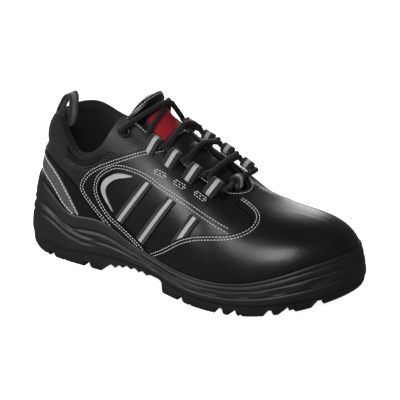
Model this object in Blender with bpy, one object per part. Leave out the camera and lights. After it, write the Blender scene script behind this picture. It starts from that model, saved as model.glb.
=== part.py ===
"""Low safety sneaker, right shoe: treaded outsole, cup midsole, hollow last-shaped upper with
padded collar, leather overlays, padded tongue, webbing lace loops and one round lace.

The toe points to +X, the outer side of the foot to -Y, and the floor is Z = 0.
The origin is on the floor under the heel.
"""
import math

import bmesh
import bpy
import numpy as np
from mathutils import Vector

# Driving sizes, metres
LENGTH = 0.305            # outsole, heel to toe
BALL_WIDTH = 0.118        # outsole, widest
SEAT_HEIGHT = 0.036       # foot of the upper above the floor, at the heel
INSTEP_HEIGHT = 0.120     # unit of the last's ridge above the floor
COLLAR_HEIGHT = 0.127     # top line at the back of the heel
CUP_HEIGHT = 0.070        # sole's heel cup at the back
TOE_SPRING = 0.017        # outsole's toe above the floor
HEEL_BEVEL = 0.006        # outsole's back edge above the floor
ARCH_RISE = 0.0125        # waist of the outsole above the floor
TREAD_DEPTH = 0.011       # outsole, floor to its joint with the midsole
GROOVE_DEPTH = 0.0062
GROOVE_WIDTH = 0.0065
WALL = 0.0022             # upper, leather with its lining
COLLAR_WALL = 0.0095      # upper, padded collar
COLLAR_DEPTH = 0.030      # padding's reach below the top line
CUP_WALL = 0.0026         # top edge of the sole's cup
SIDE_STEP = 0.0012        # groove that runs round the sole's side
FEATHER_INSET = 0.0055    # foot of the upper inside the sole's outline
INSOLE_THICK = 0.004
INSOLE_EASE = 0.0014      # insole to the upper's lining
OVERLAY = 0.0013          # leather overlays
TRIM = 0.0009             # stripes, reflectors and band
GAP = 0.0003              # clearance between neighbouring pieces
LACE_RADIUS = 0.0022
LOOP_CLEAR = 0.0010       # straight lace beyond each end of a loop
LACE_TURN = 0.0032        # reach of its turn from there toward the tongue
EYELET_INSET = 0.0078     # throat's edge to the middle of a top eyelet
WEBBING = 0.0012          # thickness of lace loops and pull loop
LOOP_WIDTH = 0.010
LOOP_TAIL = 0.011
LOOP_EASE = 0.001         # lace to the inside of its loops
KEEPER_TAIL = 0.0065
EYELET_RADIUS = 0.0052
EYELET_HOLE = 0.0026
EYELET_RIM = 0.0018        # eyelet above its seat
PULL_WIDTH = 0.014
PULL_RISE = 0.019         # pull loop above the collar
PULL_EASE = 0.0016        # flat strap to the curved lining
LOOP_SETBACK = 0.001      # middle of a loop's eye outside the throat's edge
KEEPER_LIFT = 0.0005
TREAD_INSET = 0.0035      # bottom of the outsole inside its outline
TREAD_CORNER = 0.0012
TREAD_CHAMFER = 0.0035    # its height
END_BLEND = 0.012         # rounding of the last's heel and toe ends
TOP_BLEND = 0.006         # rounding of the throat's corner
SIDE_BLEND = 0.03         # change of the top line from one side to the other
LABEL_THICK = 0.0008

# Places along the shoe, shares of LENGTH from the back of the heel
HEEL_REST = 0.170
HEEL_BASE, TOE_BASE = 0.15, 0.61
EYELET_ALONG = 0.362
LACE_STATIONS = (0.622, 0.562, 0.502, 0.444)
GROOVES = (0.133, 0.243, 0.600, 0.685, 0.755, 0.815, 0.872, 0.925)
GROOVE_TURNS = (4, -4, 6, -6, 5, -5, 4, -4)      # degrees

STATIONS = 28             # sections from heel to toe
CUP_ROWS, FREE_ROWS = 3, 6

# Outline of the sole: along (share of LENGTH), across (share of BALL_WIDTH)
OUTLINE = (
    (0.0, 0.0), (0.04, -0.225), (0.125, -0.315), (0.25, -0.335), (0.38, -0.35), (0.5, -0.405),
    (0.63, -0.485), (0.76, -0.455), (0.88, -0.315), (0.965, -0.10), (1.0, 0.13), (0.975, 0.31),
    (0.89, 0.45), (0.75, 0.50), (0.6, 0.43), (0.45, 0.33), (0.28, 0.315), (0.14, 0.32),
    (0.045, 0.235),
)
# Last, a row for each section: along (share of LENGTH), seat (of SEAT_HEIGHT), ridge (of
# INSTEP_HEIGHT), fullness of the outer and of the inner side, middle (of BALL_WIDTH)
LAST = (
    (0.00, 1.00, 1.335, 1.12, 1.12, 0.000),
    (0.05, 1.00, 1.360, 1.30, 1.30, 0.000),
    (0.12, 0.99, 1.385, 2.20, 2.20, 0.000),
    (0.22, 0.97, 1.345, 3.00, 3.20, 0.000),
    (0.32, 0.91, 1.240, 3.00, 3.60, 0.005),
    (0.42, 0.80, 1.085, 2.80, 3.70, 0.010),
    (0.52, 0.68, 0.920, 2.70, 3.60, 0.015),
    (0.62, 0.61, 0.775, 2.60, 3.20, 0.020),
    (0.70, 0.59, 0.670, 2.50, 2.60, 0.035),
    (0.78, 0.61, 0.612, 2.60, 2.40, 0.055),
    (0.86, 0.67, 0.605, 3.10, 2.80, 0.080),
    (0.94, 0.76, 0.600, 3.60, 3.40, 0.100),
    (1.00, 0.86, 0.560, 3.80, 3.80, 0.110),
)
# Top line: along, outer side, inner side (shares of COLLAR_HEIGHT at the heel and of
# INSTEP_HEIGHT in front of the ankle), half throat (of BALL_WIDTH)
ANKLE_BACK, ANKLE_FRONT = 0.20, 0.33
TOP_LINE = (
    (0.00, 1.000, 1.000, 0.060), (0.10, 1.005, 1.010, 0.060), (0.14, 0.985, 1.015, 0.060),
    (0.17, 0.910, 1.010, 0.060), (0.20, 0.820, 0.985, 0.060), (0.235, 0.802, 0.964, 0.070),
    (0.27, 0.850, 0.958, 0.080), (0.30, 0.945, 0.982, 0.100), (0.33, 1.090, 1.090, 0.140),
    (0.35, 1.164, 1.164, 0.153), (0.38, 1.249, 1.249, 0.158), (0.44, 1.376, 1.376, 0.162),
    (0.50, 1.482, 1.482, 0.168), (0.56, 1.588, 1.588, 0.176), (0.61, 1.588, 1.588, 0.178),
)
# Sole: along, floor side (of TOE_SPRING), joint above it (of TREAD_DEPTH), cup (of CUP_HEIGHT)
SOLE = (
    (0.00, 0.00, 0.95, 1.00), (0.06, 0.00, 0.95, 0.99), (0.13, 0.00, 0.95, 0.85),
    (0.18, 0.00, 0.98, 0.68), (0.22, 0.00, 1.10, 0.65), (0.28, 0.00, 1.30, 0.665),
    (0.33, 0.00, 1.42, 0.62), (0.40, 0.00, 1.45, 0.49), (0.46, 0.00, 1.42, 0.435),
    (0.54, 0.00, 1.10, 0.385), (0.62, 0.00, 0.90, 0.375), (0.70, 0.00, 0.88, 0.385),
    (0.77, 0.07, 0.86, 0.430), (0.85, 0.28, 0.82, 0.545), (0.92, 0.57, 0.72, 0.660),
    (1.00, 1.00, 0.62, 0.740),
)
# Side of the sole from the joint up to the cup's edge: rise (share), step (of SIDE_STEP)
SIDE = ((0.0, 0.8), (0.16, 0.0), (0.40, 0.0), (0.55, 0.2), (0.60, 1.0), (0.66, 0.9), (0.72, 0.0), (1.0, 0.0))
# Underside of the waist with its ribs: along, height (share of ARCH_RISE)
ARCH = (
    (0.288, -0.4), (0.298, 0.15), (0.318, 0.50), (0.336, 0.78), (0.350, 0.62), (0.362, 0.92),
    (0.376, 0.80), (0.390, 1.05), (0.404, 0.88), (0.418, 1.08), (0.432, 0.88), (0.446, 1.06),
    (0.460, 0.86), (0.474, 1.02), (0.506, 1.00), (0.516, 0.85), (0.519, -0.4),
)
# Side-view outlines of the overlays: along (share of LENGTH), height (share of INSTEP_HEIGHT)
VAMP_EDGE = (
    (0.450, 0.235), (0.480, 0.280), (0.512, 0.330), (0.545, 0.392), (0.580, 0.452),
    (0.620, 0.495), (0.660, 0.513), (0.700, 0.522), (0.728, 0.540), (0.744, 0.566),
    (0.745, 0.592), (0.735, 0.615), (0.715, 0.640), (0.690, 0.668),
)
VAMP_REST = ((0.690, 0.9), (1.1, 0.9), (1.1, 0.0), (0.45, 0.0))
QUARTER_EDGE = (
    (0.325, 0.330), (0.300, 0.385), (0.275, 0.440), (0.241, 0.528), (0.227, 0.600),
    (0.243, 0.692), (0.282, 0.777), (0.346, 0.860), (0.408, 0.928), (0.445, 0.955),
    (0.480, 0.975),
)
QUARTER_REST = ((0.50, 1.3), (0.80, 1.3), (0.80, 0.10), (0.325, 0.10))
WINDOW = (
    (0.478, 0.225), (0.430, 0.300), (0.380, 0.375), (0.331, 0.447), (0.303, 0.533),
    (0.291, 0.608), (0.300, 0.688), (0.329, 0.750), (0.360, 0.780), (0.410, 0.773),
    (0.450, 0.748), (0.486, 0.712), (0.540, 0.672), (0.586, 0.633), (0.630, 0.587),
    (0.665, 0.548), (0.700, 0.505), (0.690, 0.440), (0.580, 0.375), (0.520, 0.285),
)
TAB_EDGE = (
    (0.185, 0.790), (0.210, 0.768), (0.240, 0.757), (0.275, 0.792), (0.303, 0.855),
    (0.322, 0.890), (0.338, 0.896), (0.350, 0.882),
)
STRIPES = (((0.352, 0.40), (0.455, 0.76)), ((0.420, 0.28), (0.537, 0.70)), ((0.552, 0.36), (0.615, 0.63)))
STRIPE_HALF = 0.0052
REFLECTOR = (
    (0.338, 0.470), (0.311, 0.548), (0.299, 0.615), (0.307, 0.678), (0.333, 0.733),
    (0.362, 0.758), (0.400, 0.757), (0.378, 0.738), (0.345, 0.708), (0.322, 0.660),
    (0.314, 0.612), (0.319, 0.558),
)
COUNTER_TOP = ((0.02, 0.815), (0.070, 0.795), (0.126, 0.742), (0.186, 0.655), (0.225, 0.570))
BAND_TOP = ((0.02, 0.790), (0.070, 0.775), (0.105, 0.740), (0.149, 0.662), (0.185, 0.545), (0.222, 0.395))
BAND_LOW = ((0.205, 0.360), (0.168, 0.430), (0.130, 0.545), (0.078, 0.640), (0.02, 0.690))
# Tongue, a row for each section: middle along, middle height, edge along, edge height,
# half width (of BALL_WIDTH), thickness (m); heights are shares of INSTEP_HEIGHT
TONGUE = (
    (0.698, 0.630, 0.690, 0.600, 0.130, 0.0030),
    (0.655, 0.688, 0.650, 0.645, 0.160, 0.0032),
    (0.615, 0.768, 0.610, 0.700, 0.190, 0.0038),
    (0.570, 0.850, 0.560, 0.755, 0.200, 0.0052),
    (0.515, 0.948, 0.500, 0.820, 0.200, 0.0070),
    (0.470, 1.035, 0.445, 0.870, 0.186, 0.0080),
    (0.440, 1.110, 0.400, 0.950, 0.168, 0.0085),
    (0.422, 1.172, 0.380, 1.035, 0.145, 0.0085),
    (0.410, 1.225, 0.370, 1.095, 0.140, 0.0080),
    (0.402, 1.272, 0.362, 1.150, 0.137, 0.0060),
)
TONGUE_CROWN = 2.4        # power of the tongue's cross section
ACROSS = 8                # faces across the tongue
LABEL_ROWS = (5, 6, 7)    # tongue rows under the woven label
LABEL_FACES = 3           # tongue faces under it, each side of the middle
CROSSING_ROWS = (2.5, 3.7, 4.9, 7.0)     # tongue rows where the lace crosses itself
CROSSING_SLANT, CROSSING_REACH = 0.4, 0.30


def clear_scene():
    """Empty the file it runs in."""
    for item in list(bpy.data.objects):
        bpy.data.objects.remove(item, do_unlink=True)


def collection(name):
    """New collection in the scene."""
    group = bpy.data.collections.new(name)
    bpy.context.scene.collection.children.link(group)
    return group


def spline(xs, ys):
    """Natural cubic spline through a table's columns."""
    xs, ys = np.array(xs, float), np.array(ys, float)
    count, h = len(xs), np.diff(xs)
    a, b = np.zeros((count, count)), np.zeros(count)
    a[0, 0] = a[-1, -1] = 1
    for i in range(1, count - 1):
        a[i, i - 1:i + 2] = h[i - 1], 2 * (h[i - 1] + h[i]), h[i]
        b[i] = 6 * ((ys[i + 1] - ys[i]) / h[i] - (ys[i] - ys[i - 1]) / h[i - 1])
    m = np.linalg.solve(a, b)

    def value(x):
        x = np.clip(x, xs[0], xs[-1])
        i = np.clip(np.searchsorted(xs, x, side="right") - 1, 0, count - 2)
        s, t = (xs[i + 1] - x) / h[i], (x - xs[i]) / h[i]
        bend = (s ** 3 - s) * m[i] + (t ** 3 - t) * m[i + 1]
        return s * ys[i] + t * ys[i + 1] + bend * h[i] ** 2 / 6
    return value


def closed_curve(points, count):
    """Closed cubic spline through points, sampled count times."""
    p = np.array(points, float)
    n = len(p)
    h = np.linalg.norm(np.roll(p, -1, 0) - p, axis=1) ** 0.5
    t = np.concatenate([[0], np.cumsum(h)])
    a, b = np.zeros((n, n)), np.zeros((n, 2))
    for i in range(n):
        before, after = (i - 1) % n, (i + 1) % n
        a[i, before] += h[before]
        a[i, i] += 2 * (h[before] + h[i])
        a[i, after] += h[i]
        b[i] = 6 * ((p[after] - p[i]) / h[i] - (p[i] - p[before]) / h[before])
    m = np.linalg.solve(a, b)
    out = []
    for u in np.linspace(0, t[-1], count, endpoint=False):
        i = min(np.searchsorted(t, u, side="right") - 1, n - 1)
        after = (i + 1) % n
        s, r = (t[i + 1] - u) / h[i], (u - t[i]) / h[i]
        bend = (s ** 3 - s) * m[i] + (r ** 3 - r) * m[after]
        out.append(s * p[i] + r * p[after] + bend * h[i] ** 2 / 6)
    return np.array(out)


def soft_max(a, b, width):
    """The larger of two values, rounded where they meet."""
    return (a + b + np.sqrt((a - b) ** 2 + width * width)) / 2


def soft_min(a, b, width):
    """The smaller of two values, rounded where they meet."""
    return (a + b - np.sqrt((a - b) ** 2 + width * width)) / 2


def column(table, number):
    """Spline of one column of a table over its first."""
    return spline([row[0] for row in table], [row[number] for row in table])


last_seat, last_ridge, last_outer, last_inner, last_middle = (column(LAST, i) for i in range(1, 6))
top_outer, top_inner, top_throat = (column(TOP_LINE, i) for i in range(1, 4))
sole_spring, sole_joint, sole_cup = (column(SOLE, i) for i in range(1, 4))


def seat(x):
    """Height of the upper's foot above the floor."""
    return last_seat(x / LENGTH) * SEAT_HEIGHT


def ridge(x):
    """Height of the last's ridge above the floor."""
    return last_ridge(x / LENGTH) * INSTEP_HEIGHT


def middle(x):
    """Across, the ridge's place."""
    return last_middle(x / LENGTH) * BALL_WIDTH


def floor_side(x):
    """Height of the outsole's underside: bevelled heel, toe spring."""
    bevel = np.clip(1 - x / (0.12 * LENGTH), 0, 1) ** 2 * HEEL_BEVEL
    return bevel + np.clip(sole_spring(x / LENGTH), 0, 1) * TOE_SPRING


def joint(x):
    """Height of the joint between outsole and midsole."""
    return floor_side(x) + sole_joint(x / LENGTH) * TREAD_DEPTH


def outline_ring(inset):
    """Sole outline as a ring of paired stations, heel tip first, outer side before inner."""
    dense = closed_curve(OUTLINE, 900) * np.array([LENGTH, BALL_WIDTH])
    tangent = np.roll(dense, -1, 0) - np.roll(dense, 1, 0)
    tangent /= np.linalg.norm(tangent, axis=1)[:, None]
    outward = np.column_stack([tangent[:, 1], -tangent[:, 0]])
    toe = int(np.argmax(dense[:, 0]))
    sides = (np.arange(0, toe + 1), np.concatenate([[0], np.arange(len(dense) - 1, toe - 1, -1)]))
    where = (1 - np.cos(np.pi * np.arange(STATIONS + 1) / STATIONS)) / 2 * dense[toe, 0]
    ring = []
    for side in sides:
        xs = dense[side, 0]
        order = np.argsort(xs)
        at = np.interp(where, xs[order], np.arange(len(side))[order])
        low = np.floor(at).astype(int)
        high = np.minimum(low + 1, len(side) - 1)
        part = (at - low)[:, None]
        spot = dense[side][low] * (1 - part) + dense[side][high] * part
        normal = outward[side][low] * (1 - part) + outward[side][high] * part
        normal /= np.linalg.norm(normal, axis=1)[:, None]
        ring.append(spot - normal * inset)
    return np.concatenate([ring[0], ring[1][-2:0:-1]])


FOOT = outline_ring(FEATHER_INSET)
COUNT = len(FOOT)
BASE_X = soft_min(soft_max(FOOT[:, 0], HEEL_BASE * LENGTH, END_BLEND), TOE_BASE * LENGTH, END_BLEND)
BASE = np.column_stack([BASE_X, middle(BASE_X)])
OUTER_SIDE = FOOT[:, 1] < middle(FOOT[:, 0])
FULLNESS = np.where(OUTER_SIDE, last_outer(FOOT[:, 0] / LENGTH), last_inner(FOOT[:, 0] / LENGTH))


def skin(k, turn):
    """Upper's outer surface on the profile of station k; turn runs from 0 at the foot."""
    power = FULLNESS[k]
    reach = np.cos(np.asarray(turn, float)) ** (2 / power)
    spot = BASE[k] + (FOOT[k] - BASE[k]) * reach[..., None]
    low = seat(spot[..., 0])
    rise = (ridge(spot[..., 0]) - low) * (1 - reach ** power) ** (1 / power)
    return np.concatenate([spot, (low + rise)[..., None]], axis=-1)


def first_turn(k, test):
    """First turn on a profile where the test is no longer negative."""
    turns = np.linspace(0.0, math.pi / 2 - 0.01, 500)
    values = test(skin(k, turns))
    over = np.nonzero(values >= 0)[0]
    if len(over) == 0:
        return turns[-1]
    i = max(int(over[0]), 1)
    part = -values[i - 1] / (values[i] - values[i - 1])
    return turns[i - 1] + (turns[i] - turns[i - 1]) * float(np.clip(part, 0, 1))


def top_turn(k):
    """Turn at which the upper ends: the collar's line or the throat's edge."""
    pad = collar_share(k) * COLLAR_WALL / 2

    def test(p):
        share = p[:, 0] / LENGTH
        weight = np.clip(0.5 + (p[:, 1] - BASE[k][1]) / SIDE_BLEND, 0, 1)
        front = np.clip((share - ANKLE_BACK) / (ANKLE_FRONT - ANKLE_BACK), 0, 1)
        unit = COLLAR_HEIGHT * (1 - front) + INSTEP_HEIGHT * front
        line = (top_outer(share) * (1 - weight) + top_inner(share) * weight) * unit
        away = np.linalg.norm(p[:, :2] - BASE[k], axis=1)
        return soft_max(p[:, 2] - line + pad, top_throat(BASE[k][0] / LENGTH) * BALL_WIDTH - away, TOP_BLEND)
    return first_turn(k, test)


def collar_share(k):
    """1 where the top line is padded collar, 0 at the throat and toe."""
    return float(np.clip((0.36 - BASE[k][0] / LENGTH) / 0.07, 0, 1))


def cup_turn(k):
    """Turn at which the sole's cup ends."""
    return first_turn(k, lambda p: p[:, 2] - sole_cup(p[:, 0] / LENGTH) * CUP_HEIGHT)


def skin_grid():
    """Points and outward normals of the upper, station by row."""
    points = []
    for k in range(COUNT):
        cup, top = cup_turn(k), top_turn(k)
        rows = np.concatenate([np.linspace(0, cup, CUP_ROWS + 1), np.linspace(cup, top, FREE_ROWS + 1)[1:]])
        points.append(skin(k, rows))
    points = np.array(points)
    along = np.roll(points, -1, 0) - np.roll(points, 1, 0)
    up = np.gradient(points, axis=1)
    normals = np.cross(along, up)
    normals /= np.linalg.norm(normals, axis=2)[..., None]
    return points, normals, up / np.linalg.norm(up, axis=2)[..., None]


SKIN, NORMAL, UPWARD = skin_grid()
TOP_ROW = CUP_ROWS + FREE_ROWS


def wall_at(k, j):
    """Thickness of the upper: its wall, and the padded collar near the top line."""
    below = SKIN[k][TOP_ROW][2] - SKIN[k][j][2]
    pad = float(np.clip((COLLAR_DEPTH - below) / (COLLAR_DEPTH * 0.6), 0, 1))
    return WALL + (COLLAR_WALL - WALL) * collar_share(k) * pad * pad * (3 - 2 * pad)


# Bodies

def material(name, colour, roughness, metallic=0.0):
    """Principled material."""
    mat = bpy.data.materials.new(name)
    mat.use_nodes = True
    shader = mat.node_tree.nodes["Principled BSDF"]
    shader.inputs["Base Color"].default_value = (*colour, 1)
    shader.inputs["Roughness"].default_value = roughness
    shader.inputs["Metallic"].default_value = metallic
    return mat


def body(name, rings, group, mat, wrap=False, ends=None, folded=True):
    """Loft through rings of points; ends closes the first and last ring, folded faces are halved."""
    mesh = bpy.data.meshes.new(name)
    work = bmesh.new()
    rows = [[work.verts.new(Vector(p) - Vector((HEEL_REST * LENGTH, 0, 0))) for p in ring] for ring in rings]
    pairs = list(zip(rows, rows[1:])) + ([(rows[-1], rows[0])] if wrap else [])
    for a, b in pairs:
        for i in range(len(a)):
            n = (i + 1) % len(a)
            if folded:
                work.faces.new((a[i], a[n], b[n]))
                work.faces.new((a[i], b[n], b[i]))
            else:
                work.faces.new((a[i], a[n], b[n], b[i]))
    if ends == "caps":
        work.faces.new(rows[0])
        work.faces.new(rows[-1])
    if ends == "pairs":
        for ring in (rows[0], rows[-1]):
            n = len(ring)
            for i in range(n // 2):
                face = [ring[i], ring[i + 1], ring[n - 1 - i], ring[(n - i) % n]]
                work.faces.new(list(dict.fromkeys(face)))
    bmesh.ops.recalc_face_normals(work, faces=work.faces)
    work.to_mesh(mesh)
    work.free()
    item = bpy.data.objects.new(name, mesh)
    item.data.materials.append(mat)
    group.objects.link(item)
    return item


def shell(name, low, high, group, mat, stations=None, rows=(0, TOP_ROW)):
    """Plate that follows the upper between two offsets, over a run of stations and rows."""
    ks = list(range(COUNT)) if stations is None else list(stations)
    js = range(rows[0], rows[1] + 1)

    def row(j, off):
        return [SKIN[k][j] + NORMAL[k][j] * off for k in ks]
    if stations is None:
        rings = [row(j, low) for j in js] + [row(j, high) for j in reversed(js)]
        return body(name, rings, group, mat, wrap=True)
    rings = []
    for n, k in enumerate(ks):
        ring = [SKIN[k][j] + NORMAL[k][j] * low for j in js]
        ring += [SKIN[k][j] + NORMAL[k][j] * high for j in reversed(js)]
        rings.append(ring)
    return body(name, rings, group, mat, ends="caps")


def side_points(table):
    """Side-view outline in metres."""
    return [(a * LENGTH, h * INSTEP_HEIGHT) for a, h in table]


def prism(name, outline, group, mat):
    """Side-view outline drawn across the shoe, as a cutter."""
    rings = [[(x, y, z) for x, z in outline] for y in (-BALL_WIDTH, BALL_WIDTH)]
    cutter = body(name, rings, group, mat, ends="caps", folded=False)
    cutter.hide_render = True
    cutter.display_type = "WIRE"
    return cutter


def boolean(item, cutter, operation):
    """Boolean modifier with the exact solver."""
    change = item.modifiers.new(cutter.name, "BOOLEAN")
    change.operation = operation
    change.solver = "EXACT"
    change.object = cutter


def grown(outline, offset):
    """Side-view outline moved outward by an offset."""
    p = np.array(outline)
    tangent = np.roll(p, -1, 0) - np.roll(p, 1, 0)
    tangent /= np.linalg.norm(tangent, axis=1)[:, None]
    outward = np.column_stack([tangent[:, 1], -tangent[:, 0]])
    area = np.sum(p[:, 0] * np.roll(p[:, 1], -1) - np.roll(p[:, 0], -1) * p[:, 1])
    return [tuple(q) for q in p + outward * offset * (1 if area > 0 else -1)]


def moved(table, rise):
    """Side-view line raised by a length."""
    return [(a, h + rise / INSTEP_HEIGHT) for a, h in table]


clear_scene()
PARTS = collection("safety_sneaker")
CUTTERS = collection("cutters")
RUBBER = material("sole rubber", (0.020, 0.020, 0.022), 0.55)
FOAM = material("sole side", (0.024, 0.024, 0.027), 0.5)
LEATHER = material("black leather", (0.012, 0.012, 0.012), 0.3)
TEXTILE = material("collar textile", (0.014, 0.015, 0.022), 0.8)
BAND = material("grey mesh", (0.20, 0.20, 0.20), 0.7)
STRIPE = material("webbing", (0.10, 0.10, 0.09), 0.7)
SILVER = material("reflective tape", (0.55, 0.55, 0.53), 0.4)
CORD = material("lace", (0.008, 0.008, 0.008), 0.7)
LABEL = material("red woven label", (0.35, 0.01, 0.02), 0.7)
RING = material("eyelet", (0.01, 0.01, 0.01), 0.3)
BOARD = material("insole fabric", (0.03, 0.03, 0.03), 0.9)
CUT = material("cutter", (0.5, 0.5, 0.5), 1.0)


# Sole

def ring_at(plan, height):
    """Ring of points from a plan outline and a height function."""
    return [(x, y, float(height(x))) for x, y in plan]


def make_outsole():
    """Treaded outsole with its waist and cross grooves."""
    bottom = ring_at(outline_ring(TREAD_INSET), floor_side)
    corner = ring_at(outline_ring(TREAD_CORNER), lambda x: floor_side(x) + TREAD_CHAMFER)
    top = ring_at(outline_ring(SIDE_STEP * SIDE[0][1]), lambda x: joint(x) - GAP / 2)
    sole = body("outsole", [bottom, corner, top], PARTS, RUBBER, ends="pairs")
    waist = [(a * LENGTH, h * ARCH_RISE) for a, h in ARCH]
    boolean(sole, prism("waist_cutter", waist, CUTTERS, CUT), "DIFFERENCE")
    for n, (along, turn) in enumerate(zip(GROOVES, GROOVE_TURNS)):
        x = along * LENGTH
        bpy.ops.mesh.primitive_cube_add(size=1)
        cutter = bpy.context.object
        cutter.name = f"groove_cutter_{n + 1}"
        low = float(floor_side(x)) - GROOVE_DEPTH
        for v in cutter.data.vertices:
            v.co = Vector((v.co.x * GROOVE_WIDTH, v.co.y * BALL_WIDTH * 1.4, v.co.z * GROOVE_DEPTH * 2))
        cutter.location = (x - HEEL_REST * LENGTH, 0, low + GROOVE_DEPTH)
        cutter.rotation_euler = (0, 0, math.radians(turn))
        for owner in list(cutter.users_collection):
            owner.objects.unlink(cutter)
        CUTTERS.objects.link(cutter)
        cutter.hide_render = True
        cutter.display_type = "WIRE"
        boolean(sole, cutter, "DIFFERENCE")


def make_midsole():
    """Cup sole: floor under the foot, wall up the heel and round the toe, stepped side."""
    floor = [(*(SKIN[k][0] + NORMAL[k][0] * GAP)[:2], float(seat(FOOT[k][0])) - GAP) for k in range(COUNT)]
    inner = [[SKIN[k][j] + NORMAL[k][j] * GAP for k in range(COUNT)] for j in range(1, CUP_ROWS + 1)]
    edge = []
    for spot, normal in zip(inner[-1], NORMAL[:, CUP_ROWS]):
        flat = normal[:2] / np.linalg.norm(normal[:2])
        edge.append(np.array([*(spot[:2] + flat * CUP_WALL), spot[2]]))
    plan = outline_ring(0.0)
    rings = [floor] + inner
    for rise, step in reversed(SIDE):
        face = outline_ring(SIDE_STEP * step)
        ring = []
        for k in range(COUNT):
            foot = float(joint(plan[k][0])) + GAP / 2
            share = rise ** 1.6
            spot = face[k] * (1 - share) + edge[k][:2] * share
            ring.append((*spot, foot * (1 - rise) + edge[k][2] * rise))
        rings.append(ring)
    body("midsole", rings, PARTS, FOAM, ends="pairs")


def make_insole():
    """Insole board and footbed inside the upper."""
    plan = outline_ring(FEATHER_INSET + WALL + INSOLE_EASE)
    low = ring_at(plan, seat)
    high = ring_at(plan, lambda x: seat(x) + INSOLE_THICK)
    body("insole", [low, high], PARTS, BOARD, ends="pairs")


# Upper

def make_upper():
    """Hollow upper: outer skin, rounded top line, lining."""
    outer = [[SKIN[k][j] for k in range(COUNT)] for j in range(TOP_ROW + 1)]
    inner = [[SKIN[k][j] - NORMAL[k][j] * wall_at(k, j) for k in range(COUNT)] for j in range(TOP_ROW, -1, -1)]
    for ring, plan in ((inner[-1], outer[0]),):
        for k in range(COUNT):
            ring[k][2] = plan[k][2]
    rim = []
    for angle in (45, 90, 135):
        c, s = math.cos(math.radians(angle)), math.sin(math.radians(angle))
        ring = []
        for k in range(COUNT):
            half = wall_at(k, TOP_ROW) / 2
            spot = SKIN[k][TOP_ROW] - NORMAL[k][TOP_ROW] * half * (1 - c) + UPWARD[k][TOP_ROW] * half * s
            ring.append(spot)
        rim.append(ring)
    upper = body("upper", outer + rim + inner, PARTS, TEXTILE, wrap=True)
    for name in ("eyelet_hole_lateral", "eyelet_hole_medial"):
        boolean(upper, bpy.data.objects[name], "DIFFERENCE")


def station_point(along, side, distance):
    """Point of the skin at a place along the shoe and a distance across from the ridge.

    Returns the point, its outward normal, the way rearward along the throat's edge and the way
    outward from the throat."""
    x = along * LENGTH
    y_side = -1 if side == "lateral" else 1
    probe = []
    for dx, dy in ((0, 0), (0.001, 0), (0, 0.001)):
        px, py = x + dx, float(middle(x)) + y_side * (distance + dy)
        ks = [k for k in range(COUNT) if OUTER_SIDE[k] == (side == "lateral")]
        order = sorted(ks, key=lambda k: FOOT[k][0])
        foot = float(np.interp(px, [FOOT[k][0] for k in order], [FOOT[k][1] for k in order]))
        power = float((last_outer if side == "lateral" else last_inner)(px / LENGTH))
        reach = abs(py - float(middle(px))) / abs(foot - float(middle(px)))
        low = float(seat(px))
        z = low + (float(ridge(px)) - low) * (1 - min(reach, 0.999) ** power) ** (1 / power)
        probe.append(np.array([px, py, z]))
    rearward = probe[0] - probe[1]
    outward = probe[2] - probe[0]
    normal = np.cross(rearward, outward) * -y_side
    if normal[2] < 0:
        normal = -normal
    unit = [v / np.linalg.norm(v) for v in (normal, rearward)]
    return probe[0], unit[0], unit[1], np.cross(unit[1], unit[0]) * (1 if y_side > 0 else -1)


def frame_point(spot, normal, rearward, outward, a, b, c):
    """Point from local steps along rearward, outward and normal."""
    return spot + rearward * a + outward * b + normal * c


def eyelet_place(side):
    """Centre and directions of a top eyelet on the upper's skin."""
    return station_point(EYELET_ALONG, side, top_throat(EYELET_ALONG) * BALL_WIDTH + EYELET_INSET)


def make_eyelet_holes():
    """Cutters of the two top eyelets."""
    for side in ("lateral", "medial"):
        spot, normal, rearward, outward = eyelet_place(side)
        rings = []
        for c in (-0.006, 0.006):
            turns = [2 * math.pi * i / 12 for i in range(12)]
            rings.append([frame_point(spot, normal, rearward, outward, EYELET_HOLE * math.cos(t),
                                      EYELET_HOLE * math.sin(t), c) for t in turns])
        cutter = body(f"eyelet_hole_{side}", rings, CUTTERS, CUT, ends="caps", folded=False)
        cutter.hide_render = True
        cutter.display_type = "WIRE"


def make_eyelets():
    """Ring of each top eyelet, on the leather facing."""
    base = GAP + OVERLAY + GAP
    profile = ((EYELET_HOLE, base), (EYELET_RADIUS, base), (EYELET_RADIUS, base + 0.0008),
               (EYELET_RADIUS - 0.0012, base + EYELET_RIM), (EYELET_HOLE, base + 0.0014))
    for side in ("lateral", "medial"):
        spot, normal, rearward, outward = eyelet_place(side)
        rings = []
        for radius, c in profile:
            turns = [2 * math.pi * i / 14 for i in range(14)]
            rings.append([frame_point(spot, normal, rearward, outward, radius * math.cos(t),
                                      radius * math.sin(t), c) for t in turns])
        body(f"eyelet_{side}", rings, PARTS, RING, wrap=True)


# Overlays

LOW, HIGH = GAP, GAP + OVERLAY


def side_stations(side, first, last):
    """Stations of one side between two places along the shoe."""
    ks = [k for k in range(COUNT) if first * LENGTH <= FOOT[k][0] <= last * LENGTH]
    ks = [k for k in ks if (k <= STATIONS) == (side == "lateral")]
    return sorted(ks)


def round_stations(limit, toe):
    """Stations round the toe beyond a place, or round the heel before it."""
    if toe:
        return [k for k in range(COUNT) if FOOT[k][0] >= limit * LENGTH]
    after = [k for k in range(STATIONS, COUNT) if FOOT[k][0] <= limit * LENGTH]
    return after + [k for k in range(0, STATIONS) if FOOT[k][0] <= limit * LENGTH]


def make_vamp():
    """Toe and vamp leather, in front of the quarters and the throat."""
    piece = shell("vamp_overlay", LOW, HIGH, PARTS, LEATHER, round_stations(0.40, True), (2, TOP_ROW))
    outline = side_points(VAMP_EDGE + VAMP_REST)
    boolean(piece, prism("vamp_cutter", outline, CUTTERS, CUT), "INTERSECT")
    prism("vamp_clear_cutter", grown(outline, 2 * GAP), CUTTERS, CUT)
    boolean(piece, cup_prism(), "DIFFERENCE")


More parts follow.
